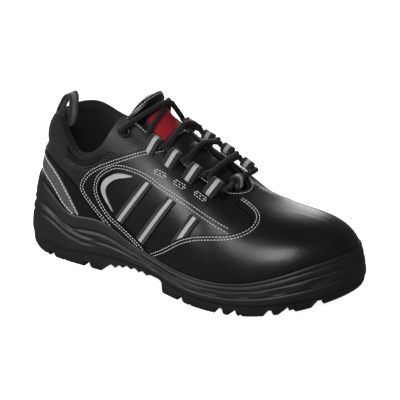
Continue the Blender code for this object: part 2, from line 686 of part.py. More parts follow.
def cup_prism():
    """Space of the sole's cup with a clearance, cut from the overlays that end at it."""
    if "cup_cutter" in bpy.data.objects:
        return bpy.data.objects["cup_cutter"]
    shares = np.linspace(-0.02, 1.02, 27)
    top = [(s * LENGTH, float(sole_cup(s)) * CUP_HEIGHT + 4 * GAP) for s in shares]
    outline = top + [(1.02 * LENGTH, -0.02), (-0.02 * LENGTH, -0.02)]
    return prism("cup_cutter", outline, CUTTERS, CUT)


def make_quarter():
    """Leather loop round both side windows and the end of the throat."""
    ks = round_stations(0.20, True)
    piece = shell("quarter_overlay", LOW, HIGH, PARTS, LEATHER, ks, (2, TOP_ROW))
    outline = side_points(QUARTER_EDGE + QUARTER_REST)
    boolean(piece, prism("quarter_cutter", outline, CUTTERS, CUT), "INTERSECT")
    boolean(piece, bpy.data.objects["vamp_clear_cutter"], "DIFFERENCE")
    boolean(piece, prism("window_cutter", side_points(WINDOW), CUTTERS, CUT), "DIFFERENCE")
    boolean(piece, cup_prism(), "DIFFERENCE")


def make_tabs():
    """Eyelet facing and collar binding, one on each side above the quarter."""
    seam = moved(QUARTER_EDGE[7:], 2 * GAP)
    outline = side_points(TAB_EDGE) + side_points(seam)
    outline += [(0.50 * LENGTH, 1.3 * INSTEP_HEIGHT), (0.185 * LENGTH, 1.3 * INSTEP_HEIGHT)]
    cutter = prism("tab_cutter", outline, CUTTERS, CUT)
    for side in ("lateral", "medial"):
        ks = side_stations(side, 0.12, 0.56)
        piece = shell(f"eyelet_tab_{side}", LOW, HIGH, PARTS, LEATHER, ks, (CUP_ROWS, TOP_ROW))
        boolean(piece, cutter, "INTERSECT")
        boolean(piece, bpy.data.objects[f"eyelet_hole_{side}"], "DIFFERENCE")


def make_heel():
    """Leather counter and the mesh band below it, round the back of the heel."""
    counter = side_points(COUNTER_TOP) + [(0.2265 * LENGTH - 2 * GAP, 0.595 * INSTEP_HEIGHT),
                                          (0.2395 * LENGTH - 2 * GAP, 0.526 * INSTEP_HEIGHT),
                                          (0.272 * LENGTH - 2 * GAP, 0.440 * INSTEP_HEIGHT),
                                          (0.296 * LENGTH - 2 * GAP, 0.385 * INSTEP_HEIGHT),
                                          (0.310 * LENGTH - 2 * GAP, 0.330 * INSTEP_HEIGHT),
                                          (0.232 * LENGTH, 0.330 * INSTEP_HEIGHT)]
    counter += [(x + GAP, z + 2 * GAP) for x, z in reversed(side_points(BAND_TOP))]
    for name, outline in (("heel_counter", counter),
                          ("heel_band", side_points(BAND_TOP) + side_points(BAND_LOW))):
        mat = LEATHER if name == "heel_counter" else BAND
        piece = shell(name, LOW, HIGH, PARTS, mat, round_stations(0.34, False), (2, TOP_ROW - 1))
        boolean(piece, prism(name + "_cutter", outline, CUTTERS, CUT), "INTERSECT")
        boolean(piece, cup_prism(), "DIFFERENCE")


def make_stripes():
    """Three slanted webbing stripes and a reflective crescent in each window."""
    window = prism("window_inner_cutter", grown(side_points(WINDOW), -3 * GAP), CUTTERS, CUT)
    for side in ("lateral", "medial"):
        for n, (low, high) in enumerate(STRIPES):
            ends = [(a * LENGTH, h * INSTEP_HEIGHT) for a, h in (low, high)]
            outline = [(ends[0][0] - STRIPE_HALF, ends[0][1]), (ends[0][0] + STRIPE_HALF, ends[0][1]),
                       (ends[1][0] + STRIPE_HALF, ends[1][1]), (ends[1][0] - STRIPE_HALF, ends[1][1])]
            name = f"stripe_{side}_{n + 1}"
            ks = side_stations(side, low[0] - 0.08, high[0] + 0.10)
            piece = shell(name, GAP, GAP + TRIM, PARTS, STRIPE, ks, (1, TOP_ROW - 1))
            boolean(piece, prism(name + "_cutter", outline, CUTTERS, CUT), "INTERSECT")
            boolean(piece, window, "INTERSECT")
            boolean(piece, bpy.data.objects["vamp_clear_cutter"], "DIFFERENCE")
            boolean(piece, cup_prism(), "DIFFERENCE")
        piece = shell(f"reflector_{side}", GAP, GAP + TRIM, PARTS, SILVER, side_stations(side, 0.20, 0.50),
                      (CUP_ROWS - 1, TOP_ROW - 1))
        boolean(piece, reflector_prism(), "INTERSECT")


def reflector_prism():
    """Outline of the reflective crescent."""
    if "reflector_cutter" in bpy.data.objects:
        return bpy.data.objects["reflector_cutter"]
    return prism("reflector_cutter", side_points(REFLECTOR), CUTTERS, CUT)


# Tongue, lace and small pieces

def tongue_point(row, across, depth):
    """Point of the tongue: row may be a fraction, across runs from -1 to 1, depth from its top."""
    rows = range(len(TONGUE))
    get = [spline(rows, [line[i] for line in TONGUE]) for i in range(6)]
    values = [float(g(row)) for g in get]
    ahead = [float(g(min(row + 0.1, len(TONGUE) - 1))) for g in get]
    behind = [float(g(max(row - 0.1, 0))) for g in get]

    def surface(v, w):
        bend = abs(w) ** TONGUE_CROWN
        x = (v[0] * (1 - bend) + v[2] * bend) * LENGTH
        z = (v[1] * (1 - bend) + v[3] * bend) * INSTEP_HEIGHT
        return np.array([x, float(middle(v[0] * LENGTH)) + w * v[4] * BALL_WIDTH, z])
    here = surface(values, across)
    up = surface(ahead, across) - surface(behind, across)
    side = surface(values, min(across + 0.05, 1)) - surface(values, max(across - 0.05, -1))
    normal = np.cross(side, up)
    normal /= np.linalg.norm(normal)
    if normal[2] < 0:
        normal = -normal
    edge = 1 - 0.65 * abs(across) ** 4
    return here - normal * depth * values[5] * edge, normal


def make_tongue():
    """Padded tongue, from under the throat's end to above the collar."""
    rings = []
    for row in range(len(TONGUE)):
        ws = [-1 + 2 * i / ACROSS for i in range(ACROSS + 1)]
        rings.append([tongue_point(row, w, 0)[0] for w in ws] + [tongue_point(row, w, 1)[0] for w in reversed(ws)])
    body("tongue", rings, PARTS, TEXTILE, ends="caps")


def make_label():
    """Plain woven patch on the tongue's faces."""
    rings = []
    for row in LABEL_ROWS:
        low = [tongue_point(row, 2 * i / ACROSS, 0) for i in range(-LABEL_FACES, LABEL_FACES + 1)]
        ring = [p + n * (GAP * 2) for p, n in low]
        ring += [p + n * (GAP * 2 + LABEL_THICK) for p, n in reversed(low)]
        rings.append(ring)
    body("label_patch", rings, PARTS, LABEL, ends="caps")


LOOP_INNER = LACE_RADIUS + LOOP_EASE
LOOP_OUTER = LOOP_INNER + WEBBING


def loop_frame(along, side):
    """Middle of a webbing loop's eye, and its directions."""
    distance = float(top_throat(along)) * BALL_WIDTH + LOOP_TAIL / 2
    spot, normal, rearward, outward = station_point(along, side, distance)
    lift = HIGH + 2 * GAP + LOOP_OUTER
    centre = spot - outward * (LOOP_TAIL / 2 - LOOP_SETBACK) + normal * lift
    return centre, normal, rearward, outward


def webbing_loop(name, centre, normal, axis, outward, tail=LOOP_TAIL):
    """Strap folded round the lace with its sewn tail lying outward."""
    inner, outer = [], []
    for i in range(12):
        t = 2 * math.pi * i / 12
        c, s = math.cos(t), math.sin(t)
        inner.append((c * LOOP_INNER, s * LOOP_INNER))
        outer.append((c * LOOP_OUTER, s * LOOP_OUTER))
    outer[0] = (tail, -LOOP_OUTER + 2 * WEBBING)
    outer[11] = (tail, -LOOP_OUTER)
    outer[1] = (LOOP_OUTER * 1.05, LOOP_OUTER * 0.25)
    outer[10] = (LOOP_OUTER * 0.6, -LOOP_OUTER)
    rings = []
    for shape, shift in ((outer, -0.5), (outer, 0.5), (inner, 0.5), (inner, -0.5)):
        rings.append([frame_point(centre, normal, axis, outward, shift * LOOP_WIDTH, b, c) for b, c in shape])
    body(name, rings, PARTS, STRIPE, wrap=True)


def make_loops():
    """Four lace loops on each side and the keeper on the tongue's foot."""
    for side in ("lateral", "medial"):
        for n, along in enumerate(LACE_STATIONS):
            centre, normal, rearward, outward = loop_frame(along, side)
            webbing_loop(f"lace_loop_{side}_{n + 1}", centre, normal, rearward, outward)
    centre, normal = keeper_place()
    axis = np.array([0.0, 1.0, 0.0])
    webbing_loop("lace_keeper", centre, normal, axis, np.cross(axis, normal), KEEPER_TAIL)


def keeper_place():
    """Middle of the keeper's eye, above the tongue's foot."""
    spot, normal = tongue_point(1.45, 0, 0)
    return spot + normal * (LOOP_OUTER + 2 * GAP + KEEPER_LIFT), normal


def smooth_path(points, step=6):
    """Catmull-Rom curve through points."""
    p = [np.array(q, float) for q in points]
    p = [2 * p[0] - p[1]] + p + [2 * p[-1] - p[-2]]
    out = []
    for a, b, c, d in zip(p, p[1:], p[2:], p[3:]):
        for i in range(step):
            t = i / step
            out.append(0.5 * (2 * b + (c - a) * t + (2 * a - 5 * b + 4 * c - d) * t * t
                              + (3 * b - a - 3 * c + d) * t ** 3))
    out.append(p[-2])
    return out


def lace_route():
    """Knots of the lace from one top eyelet to the other."""
    half = LOOP_WIDTH / 2 + LOOP_CLEAR

    def through(n, side):
        centre, normal, rearward, outward = loop_frame(LACE_STATIONS[n], side)
        ends = [centre - rearward * half, centre + rearward * half]
        turns = [end - outward * LACE_TURN + rearward * way * LACE_TURN for end, way in zip(ends, (-1, 1))]
        return [turns[0], *ends, turns[1]]

    def over(n, side, top):
        way = -1 if side == "lateral" else 1
        spots = []
        steps = ((way, -1), (0, 0), (-way, 1)) if n == len(LACE_STATIONS) - 1 else ((0, 0),)
        for across, shift in steps:
            row = CROSSING_ROWS[n] + CROSSING_SLANT * shift
            spot, normal = tongue_point(row, across * CROSSING_REACH, 0)
            lift = LACE_RADIUS + 2 * GAP + (LABEL_THICK + 3 * GAP if row > LABEL_ROWS[0] - 1 else 0)
            if top:
                lift += LACE_RADIUS if across else 2 * LACE_RADIUS + 2 * GAP
            spots.append(spot + normal * lift)
        return spots
    strands = []
    for first in ("lateral", "medial"):
        points, side = [], first
        for n in range(len(LACE_STATIONS)):
            points += through(n, side) + over(n, side, first == "lateral")
            side = "medial" if side == "lateral" else "lateral"
        end, normal, outward = eyelet_exit(side)
        points += [end + normal * 3 * LACE_RADIUS - outward * LACE_RADIUS, end + normal * LACE_RADIUS, end]
        strands.append(points)
    centre, across = keeper_place()[0], np.array([0.0, half, 0.0])
    return list(reversed(strands[0])) + [centre - across, centre + across] + strands[1]


def eyelet_exit(side):
    """Where the lace ends, just above a top eyelet, and its directions."""
    spot, normal, rearward, outward = eyelet_place(side)
    return spot + normal * (HIGH + GAP + EYELET_RIM + 2 * GAP), normal, outward


def make_lace():
    """One round lace: a bar through the keeper, crossings up to the top eyelets."""
    points = smooth_path(lace_route(), 2)
    curve = bpy.data.curves.new("lace", "CURVE")
    curve.dimensions = "3D"
    curve.bevel_depth = LACE_RADIUS
    curve.bevel_resolution = 1
    curve.use_fill_caps = True
    line = curve.splines.new("POLY")
    line.points.add(len(points) - 1)
    for knot, p in zip(line.points, points):
        knot.co = (p[0] - HEEL_REST * LENGTH, p[1], p[2], 1)
    curve.materials.append(CORD)
    PARTS.objects.link(bpy.data.objects.new("lace", curve))


def make_pull_loop():
    """Webbing loop sewn outside and inside the back of the collar."""
    half = wall_at(0, TOP_ROW) / 2
    top, normal, up = SKIN[0][TOP_ROW], NORMAL[0][TOP_ROW], UPWARD[0][TOP_ROW]
    outside = [SKIN[0][j] + NORMAL[0][j] * 3 * GAP for j in (TOP_ROW - 1, TOP_ROW)]
    inside = [SKIN[0][j] - NORMAL[0][j] * (wall_at(0, j) + GAP + PULL_EASE) for j in (TOP_ROW, TOP_ROW - 1)]
    centre = top - normal * half
    reach = half + GAP + PULL_EASE
    path = [outside[0], outside[1]]
    for angle in (160, 125, 90, 55, 20):
        a = math.radians(angle)
        rise = PULL_RISE * math.sin(a) if angle != 90 else PULL_RISE
        path.append(centre - normal * reach * math.cos(a) * 0.85 + up * rise)
    path += inside
    rings = []
    for n, p in enumerate(path):
        a, b = path[max(n - 1, 0)], path[min(n + 1, len(path) - 1)]
        way = (b - a) / np.linalg.norm(b - a)
        inward = np.cross(way, np.array([0.0, 1.0, 0.0]))
        ring = []
        for y, d in ((-0.5, 0), (0.5, 0), (0.5, 1), (-0.5, 1)):
            ring.append(p + np.array([0, y * PULL_WIDTH, 0]) + inward * d * WEBBING)
        rings.append(ring)
    body("pull_loop", rings, PARTS, STRIPE, ends="caps")


make_eyelet_holes()
make_outsole()
make_midsole()
make_insole()
make_upper()
make_tongue()
make_vamp()
make_quarter()
make_tabs()
make_heel()
make_stripes()
make_eyelets()
make_loops()
make_label()
make_lace()
make_pull_loop()
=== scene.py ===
"""Looks of a low safety sneaker, right shoe, built round its packed frame.

Toe to +X, outer side of the foot to -Y, floor at Z = 0, metres.
"""
import math

import bmesh
import bpy
import numpy as np
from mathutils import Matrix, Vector
from mathutils.bvhtree import BVHTree


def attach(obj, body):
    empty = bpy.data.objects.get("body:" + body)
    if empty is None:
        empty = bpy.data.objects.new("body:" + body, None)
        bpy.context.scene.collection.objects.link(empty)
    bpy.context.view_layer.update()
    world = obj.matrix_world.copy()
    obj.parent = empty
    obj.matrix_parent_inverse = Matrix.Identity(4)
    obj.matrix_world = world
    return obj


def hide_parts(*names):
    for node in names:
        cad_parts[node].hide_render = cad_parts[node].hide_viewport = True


bl_info = {
    "name": "Safety Sneaker",
    "version": (1, 0, 0),
    "blender": (4, 5, 0),
    "location": "View3D > Sidebar > Sneaker",
    "description": "Dresses a packed safety sneaker: leather, textile, stitches, lace and treaded sole",
    "category": "Add Mesh",
}

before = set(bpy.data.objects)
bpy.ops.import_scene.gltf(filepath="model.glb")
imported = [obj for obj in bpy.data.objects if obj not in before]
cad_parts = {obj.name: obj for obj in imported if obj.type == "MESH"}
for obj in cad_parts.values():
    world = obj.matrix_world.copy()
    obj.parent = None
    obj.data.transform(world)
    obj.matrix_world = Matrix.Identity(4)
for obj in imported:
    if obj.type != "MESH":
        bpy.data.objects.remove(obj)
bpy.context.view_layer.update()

# Driving sizes, metres
LENGTH = 0.305            # outsole, heel to toe
BALL_WIDTH = 0.118        # outsole, widest
SEAT_HEIGHT = 0.036       # foot of the upper above the floor, at the heel
INSTEP_HEIGHT = 0.120     # unit of the last's ridge above the floor
COLLAR_HEIGHT = 0.127     # top line at the back of the heel
CUP_HEIGHT = 0.070        # sole's heel cup at the back
TOE_SPRING = 0.017        # outsole's toe above the floor
HEEL_BEVEL = 0.006        # outsole's back edge above the floor
ARCH_RISE = 0.0125        # waist of the outsole above the floor
TREAD_DEPTH = 0.011       # outsole, floor to its joint with the midsole
GROOVE_DEPTH = 0.0062
GROOVE_WIDTH = 0.0065
WALL = 0.0022             # upper, leather with its lining
COLLAR_WALL = 0.0095      # upper, padded collar
COLLAR_DEPTH = 0.030      # padding's reach below the top line
CUP_WALL = 0.0026         # top edge of the sole's cup
SIDE_STEP = 0.0012        # groove that runs round the sole's side
FEATHER_INSET = 0.0055    # foot of the upper inside the sole's outline
INSOLE_THICK = 0.004
INSOLE_EASE = 0.0014      # insole to the upper's lining
OVERLAY = 0.0013          # leather overlays
TRIM = 0.0009             # stripes, reflectors and band
GAP = 0.0003              # clearance between neighbouring pieces
LACE_RADIUS = 0.0022
LOOP_CLEAR = 0.0010       # straight lace beyond each end of a loop
LACE_TURN = 0.0032        # reach of its turn from there toward the tongue
EYELET_INSET = 0.0078     # throat's edge to the middle of a top eyelet
WEBBING = 0.0012          # thickness of lace loops and pull loop
LOOP_WIDTH = 0.010
LOOP_TAIL = 0.011
LOOP_EASE = 0.001         # lace to the inside of its loops
KEEPER_TAIL = 0.0065
EYELET_RADIUS = 0.0052
EYELET_HOLE = 0.0026
EYELET_RIM = 0.0018       # eyelet above its seat
EYELET_FOOT, EYELET_ROUND = 0.0006, 0.0013
PULL_WIDTH = 0.014
PULL_RISE = 0.019         # pull loop above the collar
PULL_EASE = 0.0016        # flat strap to the curved lining
LOOP_SETBACK = 0.001      # middle of a loop's eye outside the throat's edge
KEEPER_LIFT = 0.0005
KEEPER_ROW = 1.45         # tongue row under the keeper
TREAD_INSET = 0.0035      # bottom of the outsole inside its outline
TREAD_CORNER = 0.0012
TREAD_CHAMFER = 0.0035    # its height
END_BLEND = 0.012         # rounding of the last's heel and toe ends
TOP_BLEND = 0.006         # rounding of the throat's corner
SIDE_BLEND = 0.03         # change of the top line from one side to the other
LABEL_THICK = 0.0008

# Places along the shoe, shares of LENGTH from the back of the heel
HEEL_REST = 0.170
HEEL_BASE, TOE_BASE = 0.15, 0.61
EYELET_ALONG = 0.362
LACE_STATIONS = (0.622, 0.562, 0.502, 0.444)
GROOVES = (0.133, 0.243, 0.600, 0.685, 0.755, 0.815, 0.872, 0.925)
GROOVE_TURNS = (4, -4, 6, -6, 5, -5, 4, -4)      # degrees

STATIONS = 110            # sections from heel to toe
CUP_ROWS, FREE_ROWS = 8, 34

# Outline of the sole: along (share of LENGTH), across (share of BALL_WIDTH)
OUTLINE = (
    (0.0, 0.0), (0.04, -0.225), (0.125, -0.315), (0.25, -0.335), (0.38, -0.35), (0.5, -0.405),
    (0.63, -0.485), (0.76, -0.455), (0.88, -0.315), (0.965, -0.10), (1.0, 0.13), (0.975, 0.31),
    (0.89, 0.45), (0.75, 0.50), (0.6, 0.43), (0.45, 0.33), (0.28, 0.315), (0.14, 0.32),
    (0.045, 0.235),
)
# Last, a row for each section: along (share of LENGTH), seat (of SEAT_HEIGHT), ridge (of
# INSTEP_HEIGHT), fullness of the outer and of the inner side, middle (of BALL_WIDTH)
LAST = (
    (0.00, 1.00, 1.335, 1.12, 1.12, 0.000),
    (0.05, 1.00, 1.360, 1.30, 1.30, 0.000),
    (0.12, 0.99, 1.385, 2.20, 2.20, 0.000),
    (0.22, 0.97, 1.345, 3.00, 3.20, 0.000),
    (0.32, 0.91, 1.240, 3.00, 3.60, 0.005),
    (0.42, 0.80, 1.085, 2.80, 3.70, 0.010),
    (0.52, 0.68, 0.920, 2.70, 3.60, 0.015),
    (0.62, 0.61, 0.775, 2.60, 3.20, 0.020),
    (0.70, 0.59, 0.670, 2.50, 2.60, 0.035),
    (0.78, 0.61, 0.612, 2.60, 2.40, 0.055),
    (0.86, 0.67, 0.605, 3.10, 2.80, 0.080),
    (0.94, 0.76, 0.600, 3.60, 3.40, 0.100),
    (1.00, 0.86, 0.560, 3.80, 3.80, 0.110),
)
# Top line: along, outer side, inner side (shares of COLLAR_HEIGHT at the heel and of
# INSTEP_HEIGHT in front of the ankle), half throat (of BALL_WIDTH)
ANKLE_BACK, ANKLE_FRONT = 0.20, 0.33
TOP_LINE = (
    (0.00, 1.000, 1.000, 0.060), (0.10, 1.005, 1.010, 0.060), (0.14, 0.985, 1.015, 0.060),
    (0.17, 0.910, 1.010, 0.060), (0.20, 0.820, 0.985, 0.060), (0.235, 0.802, 0.964, 0.070),
    (0.27, 0.850, 0.958, 0.080), (0.30, 0.945, 0.982, 0.100), (0.33, 1.090, 1.090, 0.140),
    (0.35, 1.164, 1.164, 0.153), (0.38, 1.249, 1.249, 0.158), (0.44, 1.376, 1.376, 0.162),
    (0.50, 1.482, 1.482, 0.168), (0.56, 1.588, 1.588, 0.176), (0.61, 1.588, 1.588, 0.178),
)
# Sole: along, floor side (of TOE_SPRING), joint above it (of TREAD_DEPTH), cup (of CUP_HEIGHT)
SOLE = (
    (0.00, 0.00, 0.95, 1.00), (0.06, 0.00, 0.95, 0.99), (0.13, 0.00, 0.95, 0.85),
    (0.18, 0.00, 0.98, 0.68), (0.22, 0.00, 1.10, 0.65), (0.28, 0.00, 1.30, 0.665),
    (0.33, 0.00, 1.42, 0.62), (0.40, 0.00, 1.45, 0.49), (0.46, 0.00, 1.42, 0.435),
    (0.54, 0.00, 1.10, 0.385), (0.62, 0.00, 0.90, 0.375), (0.70, 0.00, 0.88, 0.385),
    (0.77, 0.07, 0.86, 0.430), (0.85, 0.28, 0.82, 0.545), (0.92, 0.57, 0.72, 0.660),
    (1.00, 1.00, 0.62, 0.740),
)
JOINT_STEP = 0.8          # side's step at the joint of outsole and midsole, share of SIDE_STEP
# Underside of the waist with its ribs: along, height (share of ARCH_RISE)
ARCH = (
    (0.288, -0.4), (0.298, 0.15), (0.318, 0.50), (0.336, 0.78), (0.350, 0.62), (0.362, 0.92),
    (0.376, 0.80), (0.390, 1.05), (0.404, 0.88), (0.418, 1.08), (0.432, 0.88), (0.446, 1.06),
    (0.460, 0.86), (0.474, 1.02), (0.506, 1.00), (0.516, 0.85), (0.519, -0.4),
)
# Side-view outlines of the overlays: along (share of LENGTH), height (share of INSTEP_HEIGHT)
VAMP_EDGE = (
    (0.450, 0.235), (0.480, 0.280), (0.512, 0.330), (0.545, 0.392), (0.580, 0.452),
    (0.620, 0.495), (0.660, 0.513), (0.700, 0.522), (0.728, 0.540), (0.744, 0.566),
    (0.745, 0.592), (0.735, 0.615), (0.715, 0.640), (0.690, 0.668),
)
VAMP_REST = ((0.690, 0.9), (1.1, 0.9), (1.1, 0.0), (0.45, 0.0))
QUARTER_EDGE = (
    (0.325, 0.330), (0.300, 0.385), (0.275, 0.440), (0.241, 0.528), (0.227, 0.600),
    (0.243, 0.692), (0.282, 0.777), (0.346, 0.860), (0.408, 0.928), (0.445, 0.955),
    (0.480, 0.975),
)
QUARTER_REST = ((0.50, 1.3), (0.80, 1.3), (0.80, 0.10), (0.325, 0.10))
WINDOW = (
    (0.478, 0.225), (0.430, 0.300), (0.380, 0.375), (0.331, 0.447), (0.303, 0.533),
    (0.291, 0.608), (0.300, 0.688), (0.329, 0.750), (0.360, 0.780), (0.410, 0.773),
    (0.450, 0.748), (0.486, 0.712), (0.540, 0.672), (0.586, 0.633), (0.630, 0.587),
    (0.665, 0.548), (0.700, 0.505), (0.690, 0.440), (0.580, 0.375), (0.520, 0.285),
)
TAB_EDGE = (
    (0.185, 0.790), (0.210, 0.768), (0.240, 0.757), (0.275, 0.792), (0.303, 0.855),
    (0.322, 0.890), (0.338, 0.896), (0.350, 0.882),
)
STRIPES = (((0.352, 0.40), (0.455, 0.76)), ((0.420, 0.28), (0.537, 0.70)), ((0.552, 0.36), (0.615, 0.63)))
STRIPE_HALF = 0.0052
REFLECTOR = (
    (0.338, 0.470), (0.311, 0.548), (0.299, 0.615), (0.307, 0.678), (0.333, 0.733),
    (0.362, 0.758), (0.400, 0.757), (0.378, 0.738), (0.345, 0.708), (0.322, 0.660),
    (0.314, 0.612), (0.319, 0.558),
)
COUNTER_TOP = ((0.02, 0.815), (0.070, 0.795), (0.126, 0.742), (0.186, 0.655), (0.225, 0.570))
COUNTER_FRONT = ((0.2265, 0.595), (0.2395, 0.526), (0.272, 0.440), (0.296, 0.385), (0.310, 0.330))
COUNTER_FOOT = ((0.232, 0.330),)
BAND_TOP = ((0.02, 0.790), (0.070, 0.775), (0.105, 0.740), (0.149, 0.662), (0.185, 0.545), (0.222, 0.395))
BAND_LOW = ((0.205, 0.360), (0.168, 0.430), (0.130, 0.545), (0.078, 0.640), (0.02, 0.690))
# Tongue, a row for each section: middle along, middle height, edge along, edge height,
# half width (of BALL_WIDTH), thickness (m); heights are shares of INSTEP_HEIGHT
TONGUE = (
    (0.698, 0.630, 0.690, 0.600, 0.130, 0.0030),
    (0.655, 0.688, 0.650, 0.645, 0.160, 0.0032),
    (0.615, 0.768, 0.610, 0.700, 0.190, 0.0038),
    (0.570, 0.850, 0.560, 0.755, 0.200, 0.0052),
    (0.515, 0.948, 0.500, 0.820, 0.200, 0.0070),
    (0.470, 1.035, 0.445, 0.870, 0.186, 0.0080),
    (0.440, 1.110, 0.400, 0.950, 0.168, 0.0085),
    (0.422, 1.172, 0.380, 1.035, 0.145, 0.0085),
    (0.410, 1.225, 0.370, 1.095, 0.140, 0.0080),
    (0.402, 1.272, 0.362, 1.150, 0.137, 0.0060),
)
TONGUE_CROWN = 2.4        # power of the tongue's cross section
ACROSS = 8                # faces across the tongue
LABEL_ROWS = (5, 6, 7)    # tongue rows under the woven label
LABEL_FACES = 3           # tongue faces under it, each side of the middle
CROSSING_ROWS = (2.5, 3.7, 4.9, 7.0)     # tongue rows where the lace crosses itself
CROSSING_SLANT, CROSSING_REACH = 0.4, 0.30

SIDES = {"lateral": -1, "medial": 1}       # outer and inner side, and their way across
SAMPLES = 900             # points of the dense sole outline
BEVEL_END = 0.12          # share of LENGTH where the heel's bevel ends
COLLAR_END, COLLAR_FADE = 0.36, 0.07       # padded collar ends here, over this share
PAD_FADE = 0.6            # padding thins over this share of COLLAR_DEPTH
CUTTER_HALF = 0.12        # half width of a side-view cutter
CAST_FROM = 0.15          # start of a ray thrown at the shoe's side
PAST_MIDDLE = 0.02        # how far beyond the shoe's middle such a ray may land
PANEL_LAP, PANEL_TOP = 0.004, 0.117        # window leather under the quarter


def one_long(rows):
    """Rows of vectors made one long."""
    return rows / np.linalg.norm(rows, axis=1)[:, None]


def directions(path):
    """Unit direction at each point of an open path."""
    return one_long(np.gradient(np.array(path, float), axis=0))


def distances(path):
    """Length along a path up to each point."""
    return np.concatenate([[0], np.cumsum(np.linalg.norm(np.diff(path, axis=0), axis=1))])


def right_of(ring):
    """Unit vectors square to a closed plane outline, on the right of its direction."""
    way = one_long(np.roll(ring, -1, 0) - np.roll(ring, 1, 0))
    return np.column_stack([way[:, 1], -way[:, 0]])


def spline(xs, ys):
    """Natural cubic spline through a table's columns."""
    xs, ys = np.array(xs, float), np.array(ys, float)
    count, h = len(xs), np.diff(xs)
    a, b = np.zeros((count, count)), np.zeros(count)
    a[0, 0] = a[-1, -1] = 1
    for i in range(1, count - 1):
        a[i, i - 1:i + 2] = h[i - 1], 2 * (h[i - 1] + h[i]), h[i]
        b[i] = 6 * ((ys[i + 1] - ys[i]) / h[i] - (ys[i] - ys[i - 1]) / h[i - 1])
    m = np.linalg.solve(a, b)

    def value(x):
        x = np.clip(x, xs[0], xs[-1])
        i = np.clip(np.searchsorted(xs, x, side="right") - 1, 0, count - 2)
        s, t = (xs[i + 1] - x) / h[i], (x - xs[i]) / h[i]
        bend = (s ** 3 - s) * m[i] + (t ** 3 - t) * m[i + 1]
        return s * ys[i] + t * ys[i + 1] + bend * h[i] ** 2 / 6
    return value


def closed_curve(points, count):
    """Closed cubic spline through points, sampled count times."""
    p = np.array(points, float)
    n = len(p)
    h = np.linalg.norm(np.roll(p, -1, 0) - p, axis=1) ** 0.5
    t = np.concatenate([[0], np.cumsum(h)])
    a, b = np.zeros((n, n)), np.zeros((n, 2))
    for i in range(n):
        before, after = (i - 1) % n, (i + 1) % n
        a[i, before] += h[before]
        a[i, i] += 2 * (h[before] + h[i])
        a[i, after] += h[i]
        b[i] = 6 * ((p[after] - p[i]) / h[i] - (p[i] - p[before]) / h[before])
    m = np.linalg.solve(a, b)
    out = []
    for u in np.linspace(0, t[-1], count, endpoint=False):
        i = min(np.searchsorted(t, u, side="right") - 1, n - 1)
        after = (i + 1) % n
        s, r = (t[i + 1] - u) / h[i], (u - t[i]) / h[i]
        bend = (s ** 3 - s) * m[i] + (r ** 3 - r) * m[after]
        out.append(s * p[i] + r * p[after] + bend * h[i] ** 2 / 6)
    return np.array(out)


def soft_max(a, b, width):
    """The larger of two values, rounded where they meet."""
    return (a + b + np.sqrt((a - b) ** 2 + width * width)) / 2


def soft_min(a, b, width):
    """The smaller of two values, rounded where they meet."""
    return (a + b - np.sqrt((a - b) ** 2 + width * width)) / 2


def column(table, number):
    """Spline of one column of a table over its first."""
    return spline([row[0] for row in table], [row[number] for row in table])


last_seat, last_ridge, last_outer, last_inner, last_middle = (column(LAST, i) for i in range(1, 6))
top_outer, top_inner, top_throat = (column(TOP_LINE, i) for i in range(1, 4))
sole_spring, sole_joint, sole_cup = (column(SOLE, i) for i in range(1, 4))


def seat(x):
    """Height of the upper's foot above the floor."""
    return last_seat(x / LENGTH) * SEAT_HEIGHT


def ridge(x):
    """Height of the last's ridge above the floor."""
    return last_ridge(x / LENGTH) * INSTEP_HEIGHT


def middle(x):
    """Across, the ridge's place."""
    return last_middle(x / LENGTH) * BALL_WIDTH


def floor_side(x):
    """Height of the outsole's underside: bevelled heel, toe spring."""
    bevel = np.clip(1 - x / (BEVEL_END * LENGTH), 0, 1) ** 2 * HEEL_BEVEL
    return bevel + np.clip(sole_spring(x / LENGTH), 0, 1) * TOE_SPRING


def joint(x):
    """Height of the joint between outsole and midsole."""
    return floor_side(x) + sole_joint(x / LENGTH) * TREAD_DEPTH


def outline_ring(inset):
    """Sole outline as a ring of paired stations, heel tip first, outer side before inner."""
    dense = closed_curve(OUTLINE, SAMPLES) * np.array([LENGTH, BALL_WIDTH])
    outward = right_of(dense)
    toe = int(np.argmax(dense[:, 0]))
    sides = (np.arange(0, toe + 1), np.concatenate([[0], np.arange(len(dense) - 1, toe - 1, -1)]))
    where = (1 - np.cos(np.pi * np.arange(STATIONS + 1) / STATIONS)) / 2 * dense[toe, 0]
    ring = []
    for side in sides:
        xs = dense[side, 0]
        order = np.argsort(xs)
        at = np.interp(where, xs[order], np.arange(len(side))[order])
        low = np.floor(at).astype(int)
        high = np.minimum(low + 1, len(side) - 1)
        part = (at - low)[:, None]
        spot = dense[side][low] * (1 - part) + dense[side][high] * part
        normal = outward[side][low] * (1 - part) + outward[side][high] * part
        ring.append(spot - one_long(normal) * inset)
    return np.concatenate([ring[0], ring[1][-2:0:-1]])


FOOT = outline_ring(FEATHER_INSET)
COUNT = len(FOOT)
BASE_X = soft_min(soft_max(FOOT[:, 0], HEEL_BASE * LENGTH, END_BLEND), TOE_BASE * LENGTH, END_BLEND)
BASE = np.column_stack([BASE_X, middle(BASE_X)])
OUTER_SIDE = FOOT[:, 1] < middle(FOOT[:, 0])
FULLNESS = np.where(OUTER_SIDE, last_outer(FOOT[:, 0] / LENGTH), last_inner(FOOT[:, 0] / LENGTH))


def skin(k, turn):
    """Upper's outer surface on the profile of station k; turn runs from 0 at the foot."""
    power = FULLNESS[k]
    reach = np.cos(np.asarray(turn, float)) ** (2 / power)
    spot = BASE[k] + (FOOT[k] - BASE[k]) * reach[..., None]
    low = seat(spot[..., 0])
    rise = (ridge(spot[..., 0]) - low) * (1 - reach ** power) ** (1 / power)
    return np.concatenate([spot, (low + rise)[..., None]], axis=-1)


